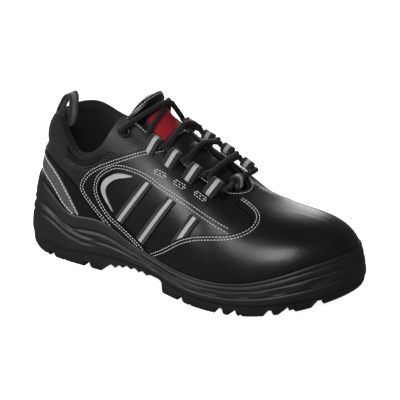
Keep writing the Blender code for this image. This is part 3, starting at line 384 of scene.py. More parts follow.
def first_turn(k, test):
    """First turn on a profile where the test is no longer negative."""
    turns = np.linspace(0.0, math.pi / 2 - 0.01, 500)
    values = test(skin(k, turns))
    over = np.nonzero(values >= 0)[0]
    if len(over) == 0:
        return turns[-1]
    i = max(int(over[0]), 1)
    part = -values[i - 1] / (values[i] - values[i - 1])
    return turns[i - 1] + (turns[i] - turns[i - 1]) * float(np.clip(part, 0, 1))


def top_turn(k):
    """Turn at which the upper ends: the collar's line or the throat's edge."""
    pad = collar_share(k) * COLLAR_WALL / 2

    def test(p):
        share = p[:, 0] / LENGTH
        weight = np.clip(0.5 + (p[:, 1] - BASE[k][1]) / SIDE_BLEND, 0, 1)
        front = np.clip((share - ANKLE_BACK) / (ANKLE_FRONT - ANKLE_BACK), 0, 1)
        unit = COLLAR_HEIGHT * (1 - front) + INSTEP_HEIGHT * front
        line = (top_outer(share) * (1 - weight) + top_inner(share) * weight) * unit
        away = np.linalg.norm(p[:, :2] - BASE[k], axis=1)
        throat = top_throat(BASE[k][0] / LENGTH) * BALL_WIDTH
        return soft_max(p[:, 2] - line + pad, throat - away, TOP_BLEND)
    return first_turn(k, test)


def collar_share(k):
    """1 where the top line is padded collar, 0 at the throat and toe."""
    return float(np.clip((COLLAR_END - BASE[k][0] / LENGTH) / COLLAR_FADE, 0, 1))


def cup_turn(k):
    """Turn at which the sole's cup ends."""
    return first_turn(k, lambda p: p[:, 2] - sole_cup(p[:, 0] / LENGTH) * CUP_HEIGHT)


def skin_grid():
    """Points and outward normals of the upper, station by row."""
    points = []
    for k in range(COUNT):
        cup, top = cup_turn(k), top_turn(k)
        rows = np.concatenate([np.linspace(0, cup, CUP_ROWS + 1), np.linspace(cup, top, FREE_ROWS + 1)[1:]])
        points.append(skin(k, rows))
    points = np.array(points)
    along = np.roll(points, -1, 0) - np.roll(points, 1, 0)
    up = np.gradient(points, axis=1)
    normals = np.cross(along, up)
    normals /= np.linalg.norm(normals, axis=2)[..., None]
    return points, normals, up / np.linalg.norm(up, axis=2)[..., None]


SKIN, NORMAL, UPWARD = skin_grid()
TOP_ROW = CUP_ROWS + FREE_ROWS


def wall_at(k, j):
    """Thickness of the upper: its wall, and the padded collar near the top line."""
    below = SKIN[k][TOP_ROW][2] - SKIN[k][j][2]
    pad = float(np.clip((COLLAR_DEPTH - below) / (COLLAR_DEPTH * PAD_FADE), 0, 1))
    return WALL + (COLLAR_WALL - WALL) * collar_share(k) * pad * pad * (3 - 2 * pad)


# Meshes

ORIGIN = np.array([HEEL_REST * LENGTH, 0.0, 0.0])
LOW, HIGH = GAP, GAP + OVERLAY


def mesh_object(name, points, faces, mats, smooth=40.0):
    """Object at the origin from points of the last's frame and faces; normals face outward."""
    mesh = bpy.data.meshes.new(name)
    mesh.from_pydata([tuple(np.asarray(p) - ORIGIN) for p in points], [], [tuple(f) for f in faces])
    work = bmesh.new()
    work.from_mesh(mesh)
    bmesh.ops.recalc_face_normals(work, faces=work.faces)
    work.to_mesh(mesh)
    work.free()
    item = bpy.data.objects.new(name, mesh)
    bpy.context.scene.collection.objects.link(item)
    for mat in mats:
        mesh.materials.append(mat)
    soften(item, smooth)
    return item


def soften(item, degrees):
    """Smooth shading with sharp edges beyond an angle."""
    item.data.polygons.foreach_set("use_smooth", [True] * len(item.data.polygons))
    item.data.set_sharp_from_angle(angle=math.radians(degrees))


def loft(name, rings, mats, wrap=False, ends=None, smooth=40.0):
    """Loft through rings of points; ends closes the first and last ring."""
    size = len(rings[0])
    points = [p for ring in rings for p in ring]
    faces = []
    rows = list(range(len(rings)))
    for a, b in list(zip(rows, rows[1:])) + ([(rows[-1], 0)] if wrap else []):
        for i in range(size):
            n = (i + 1) % size
            faces.append((a * size + i, a * size + n, b * size + n, b * size + i))
    if ends == "caps":
        faces += [tuple(range(size)), tuple((len(rings) - 1) * size + i for i in range(size))]
    if ends == "pairs":
        for base in (0, (len(rings) - 1) * size):
            for i in range(size // 2):
                face = (i, i + 1, size - 1 - i, (size - i) % size)
                faces.append(tuple(base + q for q in dict.fromkeys(face)))
    return mesh_object(name, points, faces, mats, smooth)


def shell(name, low, high, mats, stations, rows):
    """Plate that follows the upper between two offsets."""
    rings = []
    js = range(rows[0], rows[1] + 1)
    for k in stations:
        ring = [SKIN[k][j] + NORMAL[k][j] * low for j in js]
        ring += [SKIN[k][j] + NORMAL[k][j] * high for j in reversed(js)]
        rings.append(ring)
    return loft(name, rings, mats, ends="caps")


def side_points(table):
    """Side-view outline in metres."""
    return [(a * LENGTH, h * INSTEP_HEIGHT) for a, h in table]


def rounded(points, step=5):
    """Catmull-Rom curve through points."""
    p = [np.array(q, float) for q in points]
    p = [2 * p[0] - p[1]] + p + [2 * p[-1] - p[-2]]
    out = []
    for a, b, c, d in zip(p, p[1:], p[2:], p[3:]):
        for i in range(step):
            t = i / step
            out.append(0.5 * (2 * b + (c - a) * t + (2 * a - 5 * b + 4 * c - d) * t * t
                              + (3 * b - a - 3 * c + d) * t ** 3))
    out.append(p[-2])
    return out


def ringed(points, step=5):
    """Closed Catmull-Rom curve through points."""
    count = len(points)
    return rounded([points[-1], *points, points[0], points[1]], step)[step:step * (count + 1)]


def offset_line(points, distance):
    """Side-view line moved to its right."""
    way = directions(points)
    return np.array(points) + np.column_stack([way[:, 1], -way[:, 0]]) * distance


def grown(outline, offset):
    """Closed side-view outline moved outward."""
    p = np.array(outline)
    area = np.sum(p[:, 0] * np.roll(p[:, 1], -1) - np.roll(p[:, 0], -1) * p[:, 1])
    return [tuple(q) for q in p + right_of(p) * offset * (1 if area > 0 else -1)]


def prism(outline):
    """Side-view outline drawn across the shoe, as a cutter."""
    return loft("cutter", [[(x, y, z) for x, z in outline] for y in (-CUTTER_HALF, CUTTER_HALF)], [],
                ends="caps")


def carve(item, steps):
    """Apply exact Booleans with cutters, then drop the cutters."""
    for cutter, operation in steps:
        change = item.modifiers.new("cut", "BOOLEAN")
        change.operation = operation
        change.solver = "EXACT"
        change.object = cutter
    plain(item)
    for cutter, _ in steps:
        bpy.data.objects.remove(cutter)


def plain(item):
    """Replace an object's mesh by its evaluated one and drop its modifiers."""
    graph = bpy.context.evaluated_depsgraph_get()
    mesh = bpy.data.meshes.new_from_object(item.evaluated_get(graph))
    item.modifiers.clear()
    item.data = mesh
    soften(item, 40.0)


def dress(item, *nodes, slot=None):
    """Ride on the shoe's one body and stand for CAD nodes."""
    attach(item, "root")
    if nodes:
        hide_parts(*nodes)


def cup_cutter():
    """Space of the sole's cup, cut from the overlays that end at it."""
    shares = np.linspace(-0.02, 1.02, 105)
    top = [(s * LENGTH, float(sole_cup(s)) * CUP_HEIGHT + 2 * GAP) for s in shares]
    return prism(top + [(1.02 * LENGTH, -0.02), (-0.02 * LENGTH, -0.02)])


def skin_tree():
    """Search tree of the upper's outer surface."""
    points, faces = [], []
    wide = TOP_ROW + 1
    for k in range(COUNT):
        points += [Vector(p) for p in SKIN[k]]
        n = (k + 1) % COUNT
        for j in range(TOP_ROW):
            faces.append((k * wide + j, n * wide + j, n * wide + j + 1, k * wide + j + 1))
    return BVHTree.FromPolygons(points, faces)


TREE = skin_tree()


def on_side(side, points, lift):
    """Side-view points thrown onto the upper's skin, lifted off it."""
    out = []
    y_side = SIDES[side]
    for x, z in points:
        spot, normal, _, _ = TREE.ray_cast(Vector((x, y_side * CAST_FROM, z)), Vector((0, -y_side, 0)))
        if spot is not None and spot.y * y_side >= -PAST_MIDDLE:
            out.append(np.array(spot + normal * (-lift if normal.y * y_side < 0 else lift)))
    return out


def station_point(along, side, distance):
    """Point of the skin at a place along the shoe and a distance across from the ridge.

    Returns the point, its outward normal, the way rearward along the throat's edge and the way
    outward from the throat."""
    x = along * LENGTH
    y_side = SIDES[side]
    ks = [k for k in range(COUNT) if OUTER_SIDE[k] == (side == "lateral")]
    order = sorted(ks, key=lambda k: FOOT[k][0])
    foot_x, foot_y = [FOOT[k][0] for k in order], [FOOT[k][1] for k in order]
    probe = []
    for dx, dy in ((0, 0), (0.001, 0), (0, 0.001)):
        px, py = x + dx, float(middle(x)) + y_side * (distance + dy)
        foot = float(np.interp(px, foot_x, foot_y))
        power = float((last_outer if side == "lateral" else last_inner)(px / LENGTH))
        reach = abs(py - float(middle(px))) / abs(foot - float(middle(px)))
        low = float(seat(px))
        z = low + (float(ridge(px)) - low) * (1 - min(reach, 0.999) ** power) ** (1 / power)
        probe.append(np.array([px, py, z]))
    rearward = probe[0] - probe[1]
    outward = probe[2] - probe[0]
    normal = np.cross(rearward, outward) * -y_side
    if normal[2] < 0:
        normal = -normal
    unit = [v / np.linalg.norm(v) for v in (normal, rearward)]
    return probe[0], unit[0], unit[1], np.cross(unit[1], unit[0]) * (1 if y_side > 0 else -1)


def frame_point(spot, normal, rearward, outward, a, b, c):
    """Point from local steps along rearward, outward and normal."""
    return spot + rearward * a + outward * b + normal * c


# Finishes

def operator_pair(operation):
    """Plain and reflected form of an operator that adds a Math node."""
    def first(self, other):
        return self.join(operation, self, other)

    def second(self, other):
        return self.join(operation, other, self)
    return first, second


class Maths:
    """A number in a material; operators on it add Math nodes."""
    __add__, __radd__ = operator_pair("ADD")
    __sub__, __rsub__ = operator_pair("SUBTRACT")
    __mul__, __rmul__ = operator_pair("MULTIPLY")
    __gt__, __lt__ = operator_pair("GREATER_THAN")[0], operator_pair("LESS_THAN")[0]

    def __init__(self, finish, socket):
        self.finish, self.socket = finish, socket

    def join(self, operation, *values):
        """Math node of some values."""
        return self.finish.node("ShaderNodeMath", {"operation": operation}, values)

    def sine(self):
        """Sine of the value."""
        return self.join("SINE", self)

    def absolute(self):
        """The value without its sign."""
        return self.join("ABSOLUTE", self)


class Finish:
    """A material under construction."""

    def __init__(self, name, colour, roughness, coat=0.0, sheen=0.0):
        self.material = bpy.data.materials.new(name)
        self.material.use_nodes = True
        self.tree = self.material.node_tree
        self.shader = self.tree.nodes["Principled BSDF"]
        for socket, value in (
                ("Base Color", (*colour, 1)), ("Roughness", roughness), ("Coat Weight", coat),
                ("Coat Roughness", 0.25), ("Sheen Weight", sheen), ("Specular IOR Level", 0.40)):
            self.shader.inputs[socket].default_value = value
        self.bumps = None

    def node(self, kind, settings=None, values=(), output=0):
        """New node with its settings and its sockets' values or links, by place or by name."""
        new = self.tree.nodes.new(kind)
        for key, value in (settings or {}).items():
            setattr(new, key, value)
        pairs = values.items() if isinstance(values, dict) else enumerate(values)
        for key, value in pairs:
            if isinstance(value, Maths):
                self.tree.links.new(value.socket, new.inputs[key])
            else:
                new.inputs[key].default_value = value
        return Maths(self, new.outputs[output])

    def colours(self, factor, a, b):
        """Feed the base colour with a mix of two colours."""
        self.put("Base Color", self.mix(factor, a, b))

    def cloth(self):
        """Two numbers of the piece's own UV map."""
        return self.parts(self.node("ShaderNodeUVMap", {"uv_map": "cloth"}))[:2]

    def place(self):
        """Object coordinates."""
        return self.node("ShaderNodeTexCoord", output="Object")

    def parts(self, vector):
        """A vector's three numbers."""
        split = self.node("ShaderNodeSeparateXYZ", values=(vector,))
        return [Maths(self, socket) for socket in split.socket.node.outputs]

    def noise(self, vector, scale, detail=3.0):
        """Noise from 0 to 1."""
        return self.node("ShaderNodeTexNoise", values={"Vector": vector, "Scale": scale, "Detail": detail})

    def cells(self, vector, scale):
        """Distance to the nearest cell."""
        return self.node("ShaderNodeTexVoronoi", values={"Vector": vector, "Scale": scale})

    def mix(self, factor, a, b):
        """Colour between two."""
        a, b = (c if isinstance(c, Maths) else (*c, 1) for c in (a, b))
        values = {0: factor, 6: a, 7: b}
        return self.node("ShaderNodeMix", {"data_type": "RGBA", "clamp_factor": True}, values, output=2)

    def put(self, name, value):
        """Feed one input of the shader."""
        self.tree.links.new(value.socket, self.shader.inputs[name])

    def bump(self, height, depth, strength=1.0):
        """Add relief of a depth in metres."""
        values = {"Height": height, "Distance": depth, "Strength": strength}
        if self.bumps is not None:
            values["Normal"] = self.bumps
        self.bumps = self.node("ShaderNodeBump", values=values)
        self.put("Normal", self.bumps)


def wave(value, pitch):
    """Sine over a number of metres, with its pitch in metres."""
    return (value * (2 * math.pi / pitch)).sine()


def shade(colour, times, more=0.0):
    """Colour made darker or lighter."""
    return tuple(c * times + more for c in colour)


def leather(name, colour, roughness, creases=1.0):
    """Smooth black leather: fine pores, soft folds, uneven gloss."""
    made = Finish(name, colour, roughness, coat=0.08)
    at = made.place()
    pores = made.cells(at, 1500.0)
    folds = made.noise(at, 60.0, 4.0)
    dull = made.noise(at, 25.0, 2.0)
    made.bump(folds, 0.0006 * creases, 0.5)
    made.bump(pores, 0.00007, 0.45)
    made.put("Roughness", roughness - 0.06 + dull * 0.14)
    made.colours((dull - 0.35) * 1.6, colour, shade(colour, 1.9, 0.001))
    return made.material


def textile(name, colour, thread, rib=False):
    """Soft-shell or lining cloth: fine weave, ribs in front of the collar."""
    made = Finish(name, colour, 0.88, sheen=0.05)
    at = made.place()
    x, y, z = made.parts(at)
    weave = wave(x + y * 0.6, thread) * wave(z - y * 0.5, thread)
    blur = made.noise(at, 90.0, 3.0)
    made.bump(weave, 0.00012, 0.6)
    made.bump(blur, 0.0004, 0.4)
    if rib:
        near = (x > 0.006) * (x < 0.045) * (z < 0.104) * (z > 0.086)
        made.bump(wave(x * 0.85 + z * 0.5, 0.0020) * near, 0.0004, 0.8)
    made.colours(blur * 0.8 + weave * 0.15, colour, shade(colour, 2.0, 0.001))
    return made.material


def rubber(name, colour, roughness):
    """Moulded sole: fine stipple, rubbed edges, dust in the recesses."""
    made = Finish(name, colour, roughness)
    at = made.place()
    stipple = made.noise(at, 900.0, 2.0)
    cloud = made.noise(at, 35.0, 3.0)
    made.bump(stipple, 0.00010, 0.4)
    made.put("Roughness", roughness - 0.1 + cloud * 0.22)
    made.colours((cloud - 0.3) * 1.3, colour, shade(colour, 1.7, 0.002))
    return made.material


def strap(name, border, bar, share):
    """Webbing: dark borders and a light ribbed bar along its middle, on its own UV map."""
    made = Finish(name, border, 0.75, sheen=0.2)
    u, v = made.cloth()
    light = (u - 0.5).absolute() < share / 2
    ribs = wave(v, 0.0011)
    made.bump(ribs + (u * 60.0).sine() * 0.5, 0.00022, 0.8)
    worn = made.noise(made.place(), 400.0, 2.0)
    made.colours(light, border, made.mix(worn * 0.5 + ribs * 0.2, bar, shade(bar, 0.45)))
    return made.material


def net(name, dark, light):
    """Open mesh: light threads round dark holes."""
    made = Finish(name, light, 0.7)
    at = made.place()
    x, y, z = made.parts(at)
    knots = wave(x + z, 0.0021) * wave(z - x + y * 0.9, 0.0021)
    made.bump(knots, 0.0004, 0.9)
    made.colours(knots > 0.12, light, dark)
    return made.material


def beads(name, colour):
    """Reflective tape: tiny glass beads, light and dark grains."""
    made = Finish(name, colour, 0.38)
    at = made.place()
    grain = made.noise(at, 1400.0, 2.0)
    patch = made.noise(at, 160.0, 2.0)
    made.bump(grain, 0.0001, 0.5)
    made.colours(grain * 0.7 + patch * 0.4, colour, shade(colour, 0.35))
    return made.material


def cord(name, colour):
    """Round braid: crossed strands on its own UV map."""
    made = Finish(name, colour, 0.72, sheen=0.05)
    u, v = made.cloth()
    round_cord, along = u * (2 * math.pi * 6), v * (2 * math.pi / 0.0042)
    braid = (round_cord + along).sine() * (round_cord - along).sine()
    made.bump(braid, 0.0004, 0.9)
    made.colours(braid * 0.5 + 0.3, colour, shade(colour, 2.5, 0.002))
    return made.material


def woven(name, colour, dark):
    """Satin label: fine cross weave with a darker hem."""
    made = Finish(name, colour, 0.62)
    u, v = made.cloth()
    fine = (u * 260.0).sine() * (v * 210.0).sine()
    edge = ((u - 0.5).absolute() > 0.46) + ((v - 0.5).absolute() > 0.45)
    made.bump(fine, 0.00018, 0.7)
    made.colours(edge * 0.8 + fine * 0.15, colour, dark)
    return made.material


def thread(name, colour):
    """Twisted sewing thread."""
    made = Finish(name, colour, 0.6, sheen=0.2)
    fibre = made.noise(made.place(), 1800.0, 2.0)
    made.bump(fibre, 0.0001, 0.6)
    made.colours(fibre * 0.7, colour, shade(colour, 0.5))
    return made.material


def gloss(name, colour, roughness):
    """Painted eyelet."""
    made = Finish(name, colour, roughness)
    scuff = made.noise(made.place(), 700.0, 3.0)
    made.bump(scuff, 0.00004, 0.4)
    made.put("Roughness", roughness - 0.08 + scuff * 0.2)
    return made.material


def make_finishes(sizes):
    """All finishes by name."""
    black = tuple(sizes.leather_colour)
    return {
        "leather": leather("black leather", black, 0.30),
        "panel": leather("window leather", shade(black, 0.9), 0.34),
        "tongue": leather("padded leather", shade(black, 0.8), 0.36, 1.6),
        "collar": textile("collar textile", tuple(sizes.textile_colour), 0.0011, rib=True),
        "lining": textile("lining textile", (0.0030, 0.0030, 0.0034), 0.0016),
        "sole": rubber("sole side", (0.0060, 0.0060, 0.0064), 0.46),
        "tread": rubber("sole rubber", (0.0055, 0.0055, 0.006), 0.55),
        "webbing": strap("webbing", (0.010, 0.010, 0.0098), (0.52, 0.52, 0.50), 0.34),
        "stripe": strap("stripe webbing", (0.012, 0.012, 0.0115), (0.56, 0.56, 0.54), 0.36),
        "pull": strap("pull webbing", (0.05, 0.05, 0.052), (0.30, 0.30, 0.30), 0.40),
        "band": net("grey mesh", (0.012, 0.012, 0.013), (0.16, 0.16, 0.165)),
        "silver": beads("reflective tape", (0.62, 0.63, 0.64)),
        "cord": cord("lace", (0.0025, 0.0025, 0.0025)),
        "label": woven("red woven label", (0.34, 0.002, 0.012), (0.05, 0.001, 0.003)),
        "ring": gloss("eyelet", (0.008, 0.008, 0.009), 0.28),
        "white": thread("white thread", tuple(sizes.thread_colour)),
        "grey": thread("dark grey thread", (0.045, 0.045, 0.05)),
        "board": textile("insole fabric", (0.02, 0.02, 0.021), 0.002),
    }


FINISH = {}


# Stitches

def stitch_tree():
    """Geometry Nodes: capsules of thread along curves."""
    tree = bpy.data.node_groups.new("Stitch rows", "GeometryNodeTree")
    for name, kind in (("Geometry", "Geometry"), ("Pitch", "Float"), ("Length", "Float"), ("Radius", "Float"),
                       ("Material", "Material")):
        tree.interface.new_socket(name, in_out="INPUT", socket_type="NodeSocket" + kind)
    tree.interface.new_socket("Geometry", in_out="OUTPUT", socket_type="NodeSocketGeometry")
    new = tree.nodes.new
    start, end = new("NodeGroupInput"), new("NodeGroupOutput")
    points, grain = new("GeometryNodeCurveToPoints"), new("GeometryNodeMeshUVSphere")
    points.mode = "LENGTH"
    grain.inputs["Segments"].default_value = 6
    grain.inputs["Rings"].default_value = 4
    size, half = new("ShaderNodeCombineXYZ"), new("ShaderNodeMath")
    half.operation = "MULTIPLY"
    half.inputs[1].default_value = 0.5
    placed, real = new("GeometryNodeInstanceOnPoints"), new("GeometryNodeRealizeInstances")
    paint = new("GeometryNodeSetMaterial")
    for source, output, sink, entry in (
            (start, "Geometry", points, "Curve"), (start, "Pitch", points, "Length"),
            (start, "Radius", size, 0), (start, "Radius", size, 1), (start, "Length", half, 0),
            (half, 0, size, 2), (points, "Points", placed, "Points"), (grain, "Mesh", placed, "Instance"),
            (points, "Rotation", placed, "Rotation"), (size, 0, placed, "Scale"),
            (placed, "Instances", real, "Geometry"), (real, "Geometry", paint, "Geometry"),
            (start, "Material", paint, "Material"), (paint, "Geometry", end, "Geometry")):
        tree.links.new(source.outputs[output], sink.inputs[entry])
    return tree


def sew(name, paths, mat, stitch=None):
    """Rows of stitches along paths, as one mesh; stitch is its pitch, length and radius."""
    sizes = bpy.context.scene.sneaker_sizes
    pitch, length, radius = stitch or (sizes.stitch_pitch, sizes.stitch_length, sizes.thread_radius)
    curve = bpy.data.curves.new(name + "_rows", "CURVE")
    curve.dimensions = "3D"
    for path in paths:
        if len(path) < 2:
            continue
        line = curve.splines.new("POLY")
        line.points.add(len(path) - 1)
        for knot, p in zip(line.points, path):
            knot.co = (*(np.asarray(p) - ORIGIN), 1)
    rows = bpy.data.objects.new(name + "_rows", curve)
    bpy.context.scene.collection.objects.link(rows)
    tree = bpy.data.node_groups.get("Stitch rows") or stitch_tree()
    change = rows.modifiers.new("stitches", "NODES")
    change.node_group = tree
    given = {"Pitch": pitch, "Length": length, "Radius": radius, "Material": mat}
    for socket in tree.interface.items_tree:
        if socket.in_out == "INPUT" and socket.name in given:
            change[socket.identifier] = given[socket.name]
    graph = bpy.context.evaluated_depsgraph_get()
    mesh = bpy.data.meshes.new_from_object(rows.evaluated_get(graph))
    bpy.data.objects.remove(rows)
    mesh.name = name
    item = bpy.data.objects.new(name, mesh)
    bpy.context.scene.collection.objects.link(item)
    soften(item, 80.0)
    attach(item, "root")


# Sole

# Lines moulded in the sole's side: depth (m), height (share of the side), half width, where
SIDE_LINES = (
    (0.0013, 0.64, 0.035, "all"), (0.0009, 0.86, 0.030, "front"), (0.0007, 0.34, 0.030, "front"),
)
SCOOP_START, SCOOP_PITCH, SCOOP_DEPTH = 0.66, 0.085, 0.0010
SIDE_ROWS = 46            # rings of the sole's side
SIDE_SWELL = 1.6          # how late the side leans in to the cup's edge
NICKS = (0.085, 0.188, 0.560, 0.642, 0.720, 0.785, 0.843, 0.898)
NICK_TURN, NICK_WIDTH, NICK_DEPTH = 9, 0.0026, 0.0034
TREAD_ROUND, TREAD_ROUND_RISE = 0.0022, 0.0012       # rounding of the tread's edge
BELOW = 0.004             # tread cutters start this far under the tread


def groove(at, centre, width):
    """Rounded dent, 1 in the middle of a line and 0 beyond its width."""
    return np.exp(-((at - centre) / width) ** 2)


def ramp(value, start, length):
    """0 before a start and 1 after a length from it."""
    return np.clip((value - start) / length, 0, 1)


def side_relief(along, rise):
    """Depth in metres of the lines, scoops and steps moulded in the sole's side."""
    zone = {"all": 1.0, "front": ramp(along, 0.44, 0.06)}
    depth = sum(d * zone[where] * groove(rise, height, width) for d, height, width, where in SIDE_LINES)
    back = 1 - ramp(along, 0.24, 0.06)
    heel_arc = 0.46 + 0.22 * np.sin(np.clip(along / 0.25, 0, 1) * math.pi)
    depth += 0.0016 * back * groove(rise, heel_arc, 0.035)
    depth += 0.0011 * back * groove(rise, heel_arc - 0.17, 0.028)
    waist = ramp(along, 0.27, 0.04) * (1 - ramp(along, 0.55, 0.05))
    depth += 0.0010 * waist * groove(rise, 0.42 + 0.25 * (along - 0.4), 0.03)
    scoop = np.clip(np.sin((along - SCOOP_START) * 2 * math.pi / SCOOP_PITCH) * 3, 0, 1)
    scoop = scoop * ramp(along, 0.64, 0.03)
    return depth + SCOOP_DEPTH * scoop * ramp(rise, 0.36, 0.03) * (1 - ramp(rise, 0.55, 0.03))


def make_outsole():
    """Treaded outsole: cross grooves, waist ribs, side nicks and a groove along the middle."""
    rings = [[(x, y, float(floor_side(x)) + rise) for x, y in outline_ring(inset)] for inset, rise in
             ((TREAD_INSET, 0.0), (TREAD_ROUND, TREAD_ROUND_RISE), (TREAD_CORNER, TREAD_CHAMFER))]
    rings.append([(x, y, float(joint(x)) - GAP / 2) for x, y in outline_ring(SIDE_STEP * JOINT_STEP)])
    sole = loft("outsole_tread", rings, [FINISH["tread"]], ends="pairs", smooth=35.0)
    steps = [(prism([(a * LENGTH, h * ARCH_RISE) for a, h in ARCH]), "DIFFERENCE")]
    for along, turn in zip(GROOVES, GROOVE_TURNS):
        steps.append((tread_cutter(along, turn, GROOVE_WIDTH, GROOVE_DEPTH, (-0.7, 0.7)), "DIFFERENCE"))
    for n, along in enumerate(NICKS):
        for way, reach in ((1, (-0.7, -0.22)), (-1, (0.22, 0.7))):
            turn = (NICK_TURN if n % 2 else -NICK_TURN) * way
            steps.append((tread_cutter(along, turn, NICK_WIDTH, NICK_DEPTH, reach), "DIFFERENCE"))
    carve(sole, steps)
    dress(sole, "outsole", slot="sole rubber")


def tread_cutter(along, turn, width, depth, reach):
    """Tapered bar across the tread."""
    x, low = along * LENGTH, float(floor_side(along * LENGTH)) - BELOW
    rings = []
    for y in (share * BALL_WIDTH for share in reach):
        centre = x + y * math.tan(math.radians(turn))
        rings.append([(centre + width * a, y, low + h) for a, h in
                      ((-0.75, 0), (0.75, 0), (0.42, BELOW + depth), (-0.42, BELOW + depth))])
    return loft("cutter", rings, [], ends="caps")


def make_midsole():
    """Cup sole with its moulded side."""
    floor = [(*(SKIN[k][0] + NORMAL[k][0] * GAP)[:2], float(seat(FOOT[k][0])) - GAP) for k in range(COUNT)]
    inner = [[SKIN[k][j] + NORMAL[k][j] * GAP for k in range(COUNT)] for j in range(1, CUP_ROWS + 1)]
    edge = []
    for spot, normal in zip(inner[-1], NORMAL[:, CUP_ROWS]):
        flat = normal[:2] / np.linalg.norm(normal[:2])
        edge.append(np.array([*(spot[:2] + flat * CUP_WALL), spot[2]]))
    plan = outline_ring(0.0)
    away = one_long(plan - outline_ring(0.001))
    rings = [floor] + inner
    for rise in np.concatenate([[1.0, 0.988, 0.97], np.linspace(0.95, 0.0, SIDE_ROWS)]):
        ring = []
        for k in range(COUNT):
            along = plan[k][0] / LENGTH
            foot = float(joint(plan[k][0])) + GAP / 2
            share = rise ** SIDE_SWELL
            step = SIDE_STEP * JOINT_STEP * groove(rise, 0.0, 0.05) + side_relief(along, rise)
            lip = 0.0009 * groove(rise, 1.0, 0.02)
            low, high = plan[k] - away[k] * step, edge[k][:2] - away[k] * (step + lip) * 0.6
            spot = low * (1 - share) + high * share
            ring.append((*spot, foot * (1 - rise) + edge[k][2] * rise))
        rings.append(ring)
    cup = loft("midsole_cup", rings, [FINISH["sole"]], ends="pairs", smooth=70.0)
    dress(cup, "midsole", slot="sole side")


def make_insole():
    """Footbed with a raised rim and a soft crown."""
    rings = []
    for inset, rise in ((0.0, 0.0), (0.0, 0.6), (0.001, 1.0), (0.006, 0.92), (0.014, 0.80)):
        plan = outline_ring(FEATHER_INSET + WALL + INSOLE_EASE + inset)
        rings.append([(x, y, float(seat(x)) + INSOLE_THICK * rise) for x, y in plan])
    bed = loft("insole_bed", rings, [FINISH["board"]], ends="pairs")
    dress(bed, "insole", slot="insole fabric")


# Upper

def collar_swell(k, j):
    """Puffed collar: bulge between the top line and its seam."""
    below = (SKIN[k][TOP_ROW][2] - SKIN[k][j][2]) / 0.020
    front = float(np.clip((0.27 - BASE[k][0] / LENGTH) / 0.06, 0, 1))
    if not 0 <= below <= 1:
        return 0.0
    return 0.0016 * front * math.sin(math.pi * below) ** 0.7


def make_upper():
    """Hollow upper: textile collar, window panels, lining."""
    ks = range(COUNT)
    outer = [[SKIN[k][j] + NORMAL[k][j] * collar_swell(k, j) for k in ks] for j in range(TOP_ROW + 1)]
    inner = [[SKIN[k][j] - NORMAL[k][j] * wall_at(k, j) for k in ks] for j in range(TOP_ROW, -1, -1)]
    for k in range(COUNT):
        inner[-1][k][2] = outer[0][k][2]
    rim = []
    for angle in range(20, 180, 20):
        c, s = math.cos(math.radians(angle)), math.sin(math.radians(angle))
        ring = []
        for k in range(COUNT):
            half = wall_at(k, TOP_ROW) / 2
            ring.append(SKIN[k][TOP_ROW] - NORMAL[k][TOP_ROW] * half * (1 - c)
                        + UPWARD[k][TOP_ROW] * half * s)
        rim.append(ring)
    mats = [FINISH["collar"], FINISH["panel"], FINISH["lining"]]
    upper = loft("upper_shell", outer + rim + inner, mats, wrap=True)
    edge = np.array(side_points(QUARTER_EDGE))
    order = np.argsort(edge[:, 1])
    outside = len(outer) * COUNT
    lining = (len(outer) + len(rim)) * COUNT
    for face in upper.data.polygons:
        at = Vector(ORIGIN) + face.center
        first = min(face.vertices)
        if first >= lining - COUNT:
            face.material_index = 2
        elif first < outside:
            border = float(np.interp(at.z, edge[order, 1], edge[order, 0]))
            face.material_index = 1 if at.x > border + PANEL_LAP and at.z < PANEL_TOP else 0
    for side in SIDES:
        carve(upper, [(eyelet_cutter(side), "DIFFERENCE")])
    dress(upper, "upper", slot="collar textile")


def eyelet_place(side):
    """Centre and directions of a top eyelet on the upper's skin."""
    return station_point(EYELET_ALONG, side, top_throat(EYELET_ALONG) * BALL_WIDTH + EYELET_INSET)


def eyelet_ring(side, radius, height, count):
    """Circle round a top eyelet's axis, at a height over the skin."""
    at = eyelet_place(side)
    turns = np.linspace(0, 2 * math.pi, count, endpoint=False)
    return [frame_point(*at, radius * math.cos(t), radius * math.sin(t), height) for t in turns]


def eyelet_cutter(side):
    """Round bar through a top eyelet."""
    rings = [eyelet_ring(side, EYELET_HOLE, height, 24) for height in (-0.006, 0.006)]
    return loft("cutter", rings, [], ends="caps")


def round_stations(limit, toe):
    """Stations round the toe beyond a place, or round the heel before it."""
    if toe:
        return [k for k in range(COUNT) if FOOT[k][0] >= limit * LENGTH]
    after = [k for k in range(STATIONS, COUNT) if FOOT[k][0] <= limit * LENGTH]
    return after + [k for k in range(0, STATIONS) if FOOT[k][0] <= limit * LENGTH]


def side_stations(side, first, last):
    """Stations of one side between two places along the shoe."""
    ks = [k for k in range(COUNT) if first * LENGTH <= FOOT[k][0] <= last * LENGTH]
    return sorted(k for k in ks if (k <= STATIONS) == (side == "lateral"))


VAMP_LINE = rounded(side_points(VAMP_EDGE))
QUARTER_LINE = rounded(side_points(QUARTER_EDGE))
WINDOW_LINE = ringed(side_points(WINDOW))
TAB_LINE = rounded(side_points(TAB_EDGE))
REFLECTOR_LINE = ringed(side_points(REFLECTOR))
BAND_TOP_LINE = rounded(side_points(BAND_TOP))
BAND_LOW_LINE = rounded(side_points(BAND_LOW))
VAMP_SHAPE = [*VAMP_LINE, *side_points(VAMP_REST)]


def make_vamp():
    """Toe and vamp leather, in front of the quarters and the throat."""
    piece = shell("vamp_leather", LOW, HIGH, [FINISH["leather"]], round_stations(0.42, True), (4, TOP_ROW))
    carve(piece, [(prism(VAMP_SHAPE), "INTERSECT"), (cup_cutter(), "DIFFERENCE")])
    dress(piece, "vamp_overlay", slot="black leather")


